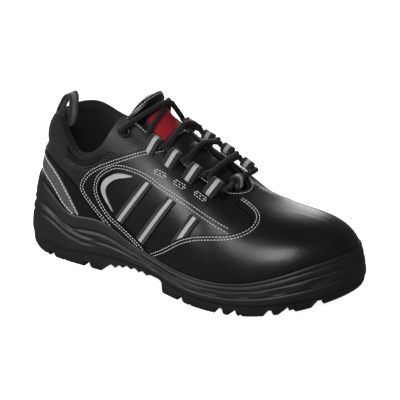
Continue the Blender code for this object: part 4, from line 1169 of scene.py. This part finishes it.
def make_quarter():
    """Leather loop round both side windows and the end of the throat."""
    piece = shell("quarter_leather", LOW, HIGH, [FINISH["leather"]], round_stations(0.20, True), (4, TOP_ROW))
    carve(piece, [(prism([*QUARTER_LINE, *side_points(QUARTER_REST)]), "INTERSECT"),
                  (prism(grown(VAMP_SHAPE, 2 * GAP)), "DIFFERENCE"),
                  (prism(WINDOW_LINE), "DIFFERENCE"), (cup_cutter(), "DIFFERENCE")])
    dress(piece, "quarter_overlay", slot="black leather")


def make_tabs():
    """Eyelet facing and collar binding on each side."""
    seam = [(a, h + 2 * GAP / INSTEP_HEIGHT) for a, h in QUARTER_EDGE[7:]]
    outline = [*TAB_LINE, *rounded(side_points(seam)), *side_points(((0.50, 1.3), (0.185, 1.3)))]
    for side in SIDES:
        piece = shell(f"tab_leather_{side}", LOW, HIGH, [FINISH["leather"]], side_stations(side, 0.12, 0.56),
                      (CUP_ROWS, TOP_ROW))
        carve(piece, [(prism(outline), "INTERSECT"), (eyelet_cutter(side), "DIFFERENCE")])
        dress(piece, f"eyelet_tab_{side}", slot="black leather")


def make_heel():
    """Leather counter and the mesh band below it, round the back of the heel."""
    counter = [*rounded(side_points(COUNTER_TOP)), *((x - 2 * GAP, z) for x, z in side_points(COUNTER_FRONT)),
               *side_points(COUNTER_FOOT), *((x + GAP, z + 2 * GAP) for x, z in reversed(BAND_TOP_LINE))]
    for name, outline, mat, node, slot in (
            ("counter_leather", counter, "leather", "heel_counter", "black leather"),
            ("heel_mesh", [*BAND_TOP_LINE, *BAND_LOW_LINE], "band", "heel_band", "grey mesh")):
        piece = shell(name, LOW, HIGH, [FINISH[mat]], round_stations(0.34, False), (4, TOP_ROW - 3))
        carve(piece, [(prism(outline), "INTERSECT"), (cup_cutter(), "DIFFERENCE")])
        dress(piece, node, slot=slot)


def give_cloth_map(item, place):
    """UV map named cloth, from a function of a vertex's number."""
    layer = item.data.uv_layers.new(name="cloth")
    for loop in item.data.loops:
        layer.data[loop.index].uv = place(loop.vertex_index)


def make_stripes():
    """Three slanted webbing stripes and a reflective crescent in each window."""
    inside = grown(WINDOW_LINE, -3 * GAP)
    for side in SIDES:
        for n, (low, high) in enumerate(STRIPES):
            start, end = side_points((low, high))
            outline = [(x + way * STRIPE_HALF, z) for (x, z), way in
                       ((start, -1), (start, 1), (end, 1), (end, -1))]
            piece = shell(f"stripe_webbing_{side}_{n + 1}", GAP, GAP + TRIM, [FINISH["stripe"]],
                          side_stations(side, low[0] - 0.08, high[0] + 0.10), (3, TOP_ROW - 3))
            carve(piece, [(prism(outline), "INTERSECT"), (prism(inside), "INTERSECT"),
                          (prism(grown(VAMP_SHAPE, 2 * GAP)), "DIFFERENCE"), (cup_cutter(), "DIFFERENCE")])
            lean = (end[0] - start[0]) / (end[1] - start[1])

            def place(index, points=piece.data.vertices, start=start, lean=lean):
                p = Vector(ORIGIN) + points[index].co
                across = (p.x - start[0] - (p.z - start[1]) * lean) / (2 * STRIPE_HALF) + 0.5
                return across, p.z * math.hypot(1, lean)
            give_cloth_map(piece, place)
            dress(piece, f"stripe_{side}_{n + 1}", slot="webbing")
        piece = shell(f"reflective_crescent_{side}", GAP, GAP + TRIM, [FINISH["silver"]],
                      side_stations(side, 0.20, 0.50), (CUP_ROWS - 2, TOP_ROW - 3))
        carve(piece, [(prism(REFLECTOR_LINE), "INTERSECT")])
        dress(piece, f"reflector_{side}", slot="reflective tape")


def make_eyelets():
    """Round ring of each top eyelet."""
    base = HIGH + GAP
    wall = (EYELET_RADIUS - EYELET_HOLE) / 2
    profile = [(EYELET_HOLE, base), (EYELET_RADIUS, base), (EYELET_RADIUS, base + EYELET_FOOT)]
    for angle in (math.radians(a) for a in range(0, 181, 20)):
        profile.append((EYELET_HOLE + wall + math.cos(angle) * wall,
                        base + EYELET_FOOT + math.sin(angle) * EYELET_ROUND))
    for side in SIDES:
        rings = [eyelet_ring(side, radius, height, 40) for radius, height in profile]
        ring = loft(f"eyelet_ring_{side}", rings, [FINISH["ring"]], wrap=True)
        dress(ring, f"eyelet_{side}", slot="eyelet")


# Tongue and lacing

TONGUE_LINES = [spline(range(len(TONGUE)), [line[i] for line in TONGUE]) for i in range(6)]
TOP_FLARE = 0.075         # padding that swells the tongue's free end, a share of the ball width
TOP_FLARE_ROWS = (6.6, 8.3)
TOP_ROUND, TOP_FOLD = 8.4, 8.7             # rows where the end's corners and its edge begin to round
ROUND_REACH, FOLD_REACH = 0.72, 0.31       # rows that each rounding would take in full
PAD_FIRST, PAD_LAST, PAD_RISE = 0.8, 8.85, 0.0013
LABEL_BED = (5.9, 8.1)    # rows without padding, under and above the label
SKIN_CLEAR = 0.0002       # thread and padding off the tongue's surface


def tongue_point(row, across, depth):
    """Point of the tongue: row may be a fraction, across runs from -1 to 1, depth from its top."""
    values, ahead, behind = ([float(g(at)) for g in TONGUE_LINES] for at in
                             (row, min(row + 0.1, len(TONGUE) - 1), max(row - 0.1, 0)))
    full = (row - TOP_FLARE_ROWS[0]) / (TOP_FLARE_ROWS[1] - TOP_FLARE_ROWS[0])
    full = min(max(full, 0.0), 1.0)
    flare = TOP_FLARE * full * full * (3 - 2 * full)

    def surface(v, w):
        bend = abs(w) ** TONGUE_CROWN
        x = (v[0] * (1 - bend) + v[2] * bend) * LENGTH
        z = (v[1] * (1 - bend) + v[3] * bend) * INSTEP_HEIGHT
        return np.array([x, float(middle(v[0] * LENGTH)) + w * (v[4] + flare) * BALL_WIDTH, z])
    here = surface(values, across)
    up = surface(ahead, across) - surface(behind, across)
    side = surface(values, min(across + 0.05, 1)) - surface(values, max(across - 0.05, -1))
    normal = np.cross(side, up)
    normal /= np.linalg.norm(normal)
    if normal[2] < 0:
        normal = -normal
    edge = 1 - 0.65 * abs(across) ** 4
    return here - normal * depth * values[5] * edge, normal


TONGUE_PANELS = (2.3, 3.2, 4.1, 5.1, 5.9)      # seams across the tongue, rows


def tongue_swell(row, across):
    """Padding between the tongue's seams, in metres."""
    marks = [PAD_FIRST, *TONGUE_PANELS, PAD_LAST, len(TONGUE) - 1]
    if not marks[0] <= row < marks[-1] or LABEL_BED[0] <= row <= LABEL_BED[1]:
        return 0.0
    low, high = max(m for m in marks if m <= row), min(m for m in marks if m > row)
    bulge = math.sin(math.pi * (row - low) / (high - low)) ** 0.6
    return PAD_RISE * bulge * (1 - abs(across) ** 6)


def make_tongue():
    """Padded tongue with its sewn panels."""
    rings = []
    ws = np.linspace(-1, 1, 41)
    for row in np.linspace(0, len(TONGUE) - 1, 109):
        top, low = [], []
        thin = 1.0 if row < TOP_FOLD else math.sqrt(max(0.0, 1 - ((row - TOP_FOLD) / FOLD_REACH) ** 2))
        reach = (1 - (max(row - TOP_ROUND, 0.0) / ROUND_REACH) ** 2.4) ** 0.4
        for w in ws * reach:
            p, n = tongue_point(row, w, 0)
            half = (tongue_point(row, w, 1)[0] - p) * 0.5
            part = half * (0.2 + 0.8 * thin) * (1 - 0.6 * abs(w) ** 8)
            top.append(p + half - part + n * (tongue_swell(row, w) - SKIN_CLEAR))
            low.append(p + half + part)
        rings.append(top + low[::-1])
    piece = loft("tongue_pad", rings, [FINISH["tongue"]], ends="caps", smooth=70.0)
    dress(piece, "tongue", slot="collar textile")


def make_label():
    """Plain woven patch on the tongue."""
    rings = []
    reach = 2 * LABEL_FACES / ACROSS
    rows, ws = np.linspace(LABEL_ROWS[0], LABEL_ROWS[-1], 33), np.linspace(-reach, reach, 33)
    for row in rows:
        low = [tongue_point(row, w, 0) for w in ws]
        ring = [p + n * GAP * 2 for p, n in low]
        rings.append(ring + [p + n * (GAP * 2 + LABEL_THICK) for p, n in reversed(low)])
    patch = loft("woven_patch", rings, [FINISH["label"]], ends="caps")

    def place(index):
        r, c = divmod(index, 2 * len(ws))
        return min(c, 2 * len(ws) - 1 - c) / (len(ws) - 1), r / (len(rows) - 1)
    give_cloth_map(patch, place)
    dress(patch, "label_patch", slot="red woven label")


LOOP_INNER = LACE_RADIUS + LOOP_EASE
LOOP_OUTER = LOOP_INNER + WEBBING


def loop_frame(along, side):
    """Middle of a webbing loop's eye, and its directions."""
    distance = float(top_throat(along)) * BALL_WIDTH + LOOP_TAIL / 2
    spot, normal, rearward, outward = station_point(along, side, distance)
    lift = HIGH + 2 * GAP + LOOP_OUTER
    centre = spot - outward * (LOOP_TAIL / 2 - LOOP_SETBACK) + normal * lift
    return centre, normal, rearward, outward


def webbing_loop(name, centre, normal, axis, outward, tail):
    """Strap folded round the lace with its two ends sewn down, lying outward."""
    middle_radius = (LOOP_INNER + LOOP_OUTER) / 2
    path = [(tail, -LOOP_OUTER + WEBBING * 1.55)]
    for angle in range(50, 271, 20):
        t = math.radians(angle)
        path.append((math.cos(t) * middle_radius, math.sin(t) * middle_radius))
    path += [(tail * 0.5, -LOOP_OUTER + WEBBING * 0.5), (tail, -LOOP_OUTER + WEBBING * 0.5)]
    line = rounded([np.array(p) for p in path], 3)
    return strap_mesh(name, line, lambda p, w: frame_point(centre, normal, axis, outward, w, p[0], p[1]),
                      LOOP_WIDTH, WEBBING * 0.92, FINISH["webbing"])


def strap_mesh(name, line, put, width, thick, mat):
    """Flat strap with rounded edges along a planar line, with its UV map across and along."""
    p, way, run = np.array(line), directions(line), distances(line)
    out = np.column_stack([way[:, 1], -way[:, 0]])
    upper = [(-0.48, 0.36), (-0.44, 0.5), (-0.2, 0.5), (0.0, 0.5), (0.2, 0.5), (0.44, 0.5), (0.48, 0.36)]
    section = [(-0.5, 0.0), *upper, (0.5, 0.0), *((-w, -d) for w, d in upper)]
    rings = [[put(p[i] + out[i] * d * thick, w * width) for w, d in section] for i in range(len(p))]
    strap_piece = loft(name, rings, [mat], ends="caps", smooth=60.0)
    give_cloth_map(strap_piece, lambda i: (section[i % len(section)][0] + 0.5, run[i // len(section)]))
    return strap_piece


def keeper_place():
    """Middle of the keeper's eye, above the tongue's foot."""
    spot, normal = tongue_point(KEEPER_ROW, 0, 0)
    return spot + normal * (LOOP_OUTER + 2 * GAP + KEEPER_LIFT), normal


def make_loops():
    """Four lace loops on each side and the keeper on the tongue's foot."""
    for side in SIDES:
        for n, along in enumerate(LACE_STATIONS):
            centre, normal, rearward, outward = loop_frame(along, side)
            piece = webbing_loop(f"loop_webbing_{side}_{n + 1}", centre, normal, rearward, outward, LOOP_TAIL)
            dress(piece, f"lace_loop_{side}_{n + 1}", slot="webbing")
    centre, normal = keeper_place()
    axis = np.array([0.0, 1.0, 0.0])
    piece = webbing_loop("keeper_webbing", centre, normal, axis, np.cross(axis, normal), KEEPER_TAIL)
    dress(piece, "lace_keeper", slot="webbing")


def lace_route():
    """Knots of the lace from one top eyelet to the other."""
    half = LOOP_WIDTH / 2 + LOOP_CLEAR

    def through(n, side):
        centre, normal, rearward, outward = loop_frame(LACE_STATIONS[n], side)
        ends = [centre - rearward * half, centre + rearward * half]
        turns = [end - outward * LACE_TURN + rearward * way * LACE_TURN for end, way in zip(ends, (-1, 1))]
        return [turns[0], *ends, turns[1]]

    def over(n, side, top):
        way = -1 if side == "lateral" else 1
        spots = []
        steps = ((way, -1), (0, 0), (-way, 1)) if n == len(LACE_STATIONS) - 1 else ((0, 0),)
        for across, shift in steps:
            row = CROSSING_ROWS[n] + CROSSING_SLANT * shift
            spot, normal = tongue_point(row, across * CROSSING_REACH, 0)
            lift = LACE_RADIUS + 2 * GAP + (LABEL_THICK + 3 * GAP if row > LABEL_ROWS[0] - 1 else 0)
            if top:
                lift += LACE_RADIUS if across else 2 * LACE_RADIUS + 2 * GAP
            spots.append(spot + normal * lift)
        return spots
    strands = []
    for first in ("lateral", "medial"):
        points, side = [], first
        for n in range(len(LACE_STATIONS)):
            points += through(n, side) + over(n, side, first == "lateral")
            side = "medial" if side == "lateral" else "lateral"
        spot, normal, _, outward = eyelet_place(side)
        end = spot + normal * (HIGH + GAP + EYELET_RIM + 2 * GAP)
        low = spot + normal * 0.0004
        points += [end + normal * 3 * LACE_RADIUS - outward * LACE_RADIUS,
                   end + normal * LACE_RADIUS, end, low]
        strands.append(points)
    centre, across = keeper_place()[0], np.array([0.0, half, 0.0])
    return list(reversed(strands[0])) + [centre - across, centre + across] + strands[1]


def make_lace():
    """One round braided lace from eyelet to eyelet."""
    path = np.array(rounded(lace_route(), 8))
    way, run = directions(path), distances(path)
    side = np.cross(way[0], [0.0, 0.0, 1.0])
    rings, turns = [], np.linspace(0, 2 * math.pi, 14, endpoint=False)
    slim = np.ones(len(path))
    slim[:3] = slim[-3:] = (EYELET_HOLE - GAP) / LACE_RADIUS
    for i, p in enumerate(path):
        side = side - way[i] * np.dot(side, way[i])
        side /= np.linalg.norm(side)
        other = np.cross(way[i], side)
        radius = LACE_RADIUS * slim[i] * (1 + 0.03 * math.sin(run[i] * 700))
        rings.append([p + (side * math.cos(t) + other * math.sin(t)) * radius for t in turns])
    lace = loft("lace_cord", rings, [FINISH["cord"]], ends="caps", smooth=80.0)
    give_cloth_map(lace, lambda i: (i % len(turns) / len(turns), run[i // len(turns)]))
    dress(lace, "lace", slot="lace")


def make_pull_loop():
    """Webbing loop sewn outside and inside the back of the collar."""
    half = wall_at(0, TOP_ROW) / 2
    top, normal, up = SKIN[0][TOP_ROW], NORMAL[0][TOP_ROW], UPWARD[0][TOP_ROW]
    low = TOP_ROW - FREE_ROWS // 5
    outside = [SKIN[0][j] + NORMAL[0][j] * (3 * GAP + WEBBING / 2) for j in (low, TOP_ROW)]
    inside = [SKIN[0][j] - NORMAL[0][j] * (wall_at(0, j) + GAP + PULL_EASE) for j in (TOP_ROW, low)]
    centre = top - normal * half
    reach = half + GAP + PULL_EASE
    path = [outside[0], outside[1]]
    for angle in (160, 125, 90, 55, 20):
        a = math.radians(angle)
        path.append(centre - normal * reach * math.cos(a) * 0.85 + up * PULL_RISE * math.sin(a))
    path += inside
    line = rounded([np.array([p[0], p[2]]) for p in path], 5)
    piece = strap_mesh("pull_webbing", line, lambda p, w: np.array([p[0], w, p[1]]), PULL_WIDTH, WEBBING,
                       FINISH["pull"])
    dress(piece, "pull_loop", slot="webbing")


# Rows of stitches

def capsule(centre, along, across, length, width, count=10):
    """Closed capsule outline in a plane."""
    half = length / 2 - width / 2
    out = []
    for start, shift in ((-90, half), (90, -half)):
        for i in range(count + 1):
            t = math.radians(start + 180 * i / count)
            out.append(centre + along * (shift + math.cos(t) * width / 2) + across * math.sin(t) * width / 2)
    return out + [out[0]]


SEAM_INSETS = (0.0016, 0.0040)             # double rows from their edge
BAND_INSET, RIM_INSET = 0.0014, 0.0022
BAND_STITCH = (0.0030, 0.0030, 0.00055)    # pitch, length, radius
WINDOW_ROW_END = 0.70
TACK_LENGTH, TACK_WIDTH, TACK_BAR = 0.0110, 0.0036, 0.0076
TACK_AWAY, TACK_OUT, TACK_BACK = 0.0012, 0.0020, 0.0055      # its place from a loop's end and station
TONGUE_STITCHES = ((8.65, 0.88), (7.55, 0.84), (4.72, 0.8), (3.75, 0.8))       # row, reach across


def bar_tack(along, side, lift):
    """Capsule of thread and a bar inside it, next to a lace loop."""
    distance = float(top_throat(along)) * BALL_WIDTH + LOOP_TAIL + TACK_AWAY
    spot, normal, rearward, outward = station_point(along, side, distance)
    centre = spot + rearward * TACK_BACK + outward * TACK_OUT
    bar = [centre + rearward * a for a in np.linspace(-TACK_BAR / 2, TACK_BAR / 2, 8)]
    return [[snap(p, normal, lift) for p in path] for path in
            (capsule(centre, rearward, outward, TACK_LENGTH, TACK_WIDTH), bar)]


def make_stitches():
    """White and grey thread along the seams."""
    lift = HIGH + 0.0001
    white, heavy, grey = [], [], []
    for side in SIDES:
        for inset in SEAM_INSETS:
            white.append(on_side(side, offset_line(QUARTER_LINE, inset), lift))
            white.append(seam_row(side, VAMP_LINE, inset, lift))
            ring = grown(WINDOW_LINE, inset)
            start = max(range(len(ring)), key=lambda i: ring[i][0])
            keep = [p for p in ring[start:] + ring[:start]
                    if p[0] < WINDOW_ROW_END * LENGTH and above_vamp(p)]
            white.append(on_side(side, keep, lift))
            grey.append(on_side(side, offset_line(TAB_LINE, inset), lift))
        for line in (BAND_TOP_LINE, BAND_LOW_LINE):
            heavy.append(on_side(side, offset_line(line, BAND_INSET), lift))
        for along in LACE_STATIONS[:3]:
            white += bar_tack(along, side, lift)
    rim = [(SKIN[k][TOP_ROW], UPWARD[k][TOP_ROW], NORMAL[k][TOP_ROW]) for k in range(COUNT)
           if BASE[k][0] > 0.35 * LENGTH]
    white.append([spot - up * RIM_INSET + normal * lift for spot, up, normal in rim])
    sew("seam_stitches", white, FINISH["white"])
    sew("band_stitches", heavy, FINISH["white"], BAND_STITCH)
    sew("tab_stitches", grey, FINISH["grey"])
    rows = [[lift_from_tongue(row, w) for w in np.linspace(-reach, reach, 40)]
            for row, reach in TONGUE_STITCHES]
    sew("tongue_stitches", rows, FINISH["white"])


def seam_row(side, line, inset, lift):
    """Row of stitches at one distance over the leather from a side-view line."""
    path = np.array(on_side(side, line, 0.0))
    row = []
    for p, way in zip(path, directions(path)):
        face = TREE.find_nearest(Vector(p))[1]
        aside = np.cross(way, np.array(face)) * -SIDES[side]
        spot, face, _, _ = TREE.find_nearest(Vector(p + aside * inset))
        row.append(np.array(spot) + np.array(face) * lift)
    return row


def above_vamp(p):
    """True where a side-view point is clear of the vamp leather."""
    line = np.array(VAMP_LINE)
    near = np.interp(p[0], line[:60, 0], line[:60, 1])
    return p[1] > near + 0.0005 or p[0] < 0.46 * LENGTH


def snap(p, normal, lift):
    """Point moved along a normal onto the upper's skin, then lifted."""
    spot = TREE.ray_cast(Vector(p + normal * 0.02), Vector(-normal))[0]
    return p if spot is None else np.array(spot) + normal * lift


def lift_from_tongue(row, across):
    """Point just above the tongue's padding."""
    p, n = tongue_point(row, across, 0)
    return p + n * (tongue_swell(row, across) + SKIN_CLEAR)


# Stage

LAMPS = (("key", (0.55, -1.0, 0.75), 0.6, 10.0), ("side", (-0.7, -1.0, 0.55), 0.7, 12.0),
         ("back", (-0.6, 1.2, 0.5), 0.9, 11.0))      # name, place, size (m), power (W)
LAMP_AIM = (0.098, 0.0, 0.06)
ROOM_LIGHT = 0.14         # strength of the white room on the shoe; the camera sees it at 1
FLOOR_HALF, FLOOR_DROP, FLOOR_GLOW = 6, 0.0002, 0.86
VIEW_AZIMUTH, VIEW_ELEVATION = 31.0, 23.0            # degrees
VIEW_TARGET, VIEW_DISTANCE = (0.15, 0.0, 0.05), 1.0
LENS, SHIFT = 108.4, 0.04


def lamp(name, place, size, power):
    """Soft square light aimed at the shoe."""
    data = bpy.data.lights.new(name, "AREA")
    data.shape, data.size, data.energy = "SQUARE", size, power
    item = bpy.data.objects.new(name, data)
    item.location = place
    item.rotation_euler = (Vector(LAMP_AIM) - Vector(place)).to_track_quat("-Z", "Y").to_euler()
    bpy.context.scene.collection.objects.link(item)


def make_stage():
    """White floor, soft lights and the camera at the photograph's angle."""
    mesh = bpy.data.meshes.new("floor")
    corners = [(x * FLOOR_HALF, y * FLOOR_HALF, -FLOOR_DROP) for x, y in ((-1, -1), (1, -1), (1, 1), (-1, 1))]
    mesh.from_pydata(corners, [], [(0, 1, 2, 3)])
    floor = bpy.data.objects.new("floor", mesh)
    bpy.context.scene.collection.objects.link(floor)
    paper = Finish("white paper", (1.0, 1.0, 1.0), 0.9)
    for socket, value in (("Specular IOR Level", 0.0), ("Emission Color", (1, 1, 1, 1)),
                          ("Emission Strength", FLOOR_GLOW)):
        paper.shader.inputs[socket].default_value = value
    mesh.materials.append(paper.material)
    floor.visible_diffuse = floor.visible_glossy = False
    world = bpy.data.worlds.new("white room")
    world.use_nodes = True
    background = world.node_tree.nodes["Background"]
    background.inputs["Color"].default_value = (1, 1, 1, 1)
    seen = world.node_tree.nodes.new("ShaderNodeLightPath")
    level = world.node_tree.nodes.new("ShaderNodeMapRange")
    level.inputs["To Min"].default_value = ROOM_LIGHT
    level.inputs["To Max"].default_value = 1.0
    world.node_tree.links.new(seen.outputs["Is Camera Ray"], level.inputs["Value"])
    world.node_tree.links.new(level.outputs["Result"], background.inputs["Strength"])
    scene = bpy.context.scene
    scene.world = world
    for entry in LAMPS:
        lamp(*entry)
    az, el = math.radians(VIEW_AZIMUTH), math.radians(VIEW_ELEVATION)
    back = Vector((math.sin(az) * math.cos(el), -math.cos(az) * math.cos(el), math.sin(el)))
    target = Vector(VIEW_TARGET) - Vector(ORIGIN)
    data = bpy.data.cameras.new("camera")
    data.sensor_width = 36.0
    data.lens = LENS
    data.shift_x, data.shift_y = SHIFT, SHIFT
    camera = bpy.data.objects.new("camera", data)
    camera.location = target + back * VIEW_DISTANCE
    camera.rotation_euler = (-back).to_track_quat("-Z", "Y").to_euler()
    scene.collection.objects.link(camera)
    scene.camera = camera
    scene.view_settings.view_transform = "Standard"


# Add-on

class SneakerSizes(bpy.types.PropertyGroup):
    """Sizes and colours that a user would change."""
    stitch_pitch: bpy.props.FloatProperty(
        name="Stitch pitch", description="Distance from one stitch to the next",
        default=0.0026, unit="LENGTH", precision=4)
    stitch_length: bpy.props.FloatProperty(
        name="Stitch length", description="Length of thread that shows in one stitch",
        default=0.0021, unit="LENGTH", precision=4)
    thread_radius: bpy.props.FloatProperty(
        name="Thread radius", description="Half the thickness of the sewing thread",
        default=0.00036, unit="LENGTH", precision=5)
    thread_colour: bpy.props.FloatVectorProperty(
        name="Thread colour", description="Colour of the light seam thread",
        default=(0.80, 0.80, 0.77), subtype="COLOR", min=0, max=1)
    leather_colour: bpy.props.FloatVectorProperty(
        name="Leather colour", description="Colour of the smooth leather",
        default=(0.0030, 0.0030, 0.0032), subtype="COLOR", min=0, max=1)
    textile_colour: bpy.props.FloatVectorProperty(
        name="Textile colour", description="Colour of the collar textile",
        default=(0.0030, 0.0032, 0.0048), subtype="COLOR", min=0, max=1)


def piece_operator(key, label, doc, work):
    """Operator class that makes one piece or group."""
    def execute(self, context):
        if not FINISH:
            FINISH.update(make_finishes(context.scene.sneaker_sizes))
        work()
        return {"FINISHED"}
    return type(f"SNEAKER_OT_{key}", (bpy.types.Operator,),
                {"bl_idname": f"sneaker.{key}", "bl_label": label, "__doc__": doc, "execute": execute})


PIECES = (
    ("outsole", "Outsole", "Treaded outsole with grooves and ribs", make_outsole),
    ("midsole", "Midsole", "Cup sole with its moulded side", make_midsole),
    ("insole", "Insole", "Footbed inside the upper", make_insole),
    ("upper", "Upper", "Hollow upper with its padded collar", make_upper),
    ("vamp", "Vamp", "Toe and vamp leather", make_vamp),
    ("quarter", "Quarter", "Quarter leather round the windows", make_quarter),
    ("tabs", "Eyelet tabs", "Eyelet facing on each side", make_tabs),
    ("heel", "Heel", "Leather counter and mesh band", make_heel),
    ("stripes", "Stripes", "Webbing stripes and reflective crescents", make_stripes),
    ("eyelets", "Eyelets", "Two top eyelets", make_eyelets),
    ("tongue", "Tongue", "Padded tongue", make_tongue),
    ("label", "Label", "Woven patch on the tongue", make_label),
    ("loops", "Lace loops", "Webbing loops and the keeper", make_loops),
    ("lace", "Lace", "Round braided lace", make_lace),
    ("pull_loop", "Pull loop", "Webbing loop at the heel", make_pull_loop),
    ("stitches", "Stitches", "Rows of thread along the seams", make_stitches),
    ("stage", "Stage", "Floor, lights and camera", make_stage),
)
OPERATORS = [piece_operator(*entry) for entry in PIECES]


class SNEAKER_PT_panel(bpy.types.Panel):
    """Buttons for the sneaker's pieces."""
    bl_label = "Sneaker"
    bl_idname = "SNEAKER_PT_panel"
    bl_space_type = "VIEW_3D"
    bl_region_type = "UI"
    bl_category = "Sneaker"

    def draw(self, context):
        """List sizes and operators."""
        sizes = context.scene.sneaker_sizes
        for name in SneakerSizes.__annotations__:
            self.layout.prop(sizes, name)
        for operator in OPERATORS:
            self.layout.operator(operator.bl_idname)


def register():
    """Add the classes and the scene's sizes."""
    for item in (SneakerSizes, *OPERATORS, SNEAKER_PT_panel):
        bpy.utils.register_class(item)
    bpy.types.Scene.sneaker_sizes = bpy.props.PointerProperty(type=SneakerSizes)


def unregister():
    """Remove them again."""
    del bpy.types.Scene.sneaker_sizes
    for item in (SNEAKER_PT_panel, *reversed(OPERATORS), SneakerSizes):
        bpy.utils.unregister_class(item)


def main():
    """Build every piece, then note the two boxes."""
    register()
    for key, *_ in PIECES:
        getattr(bpy.ops.sneaker, key)()


if __name__ == "__main__":
    main()
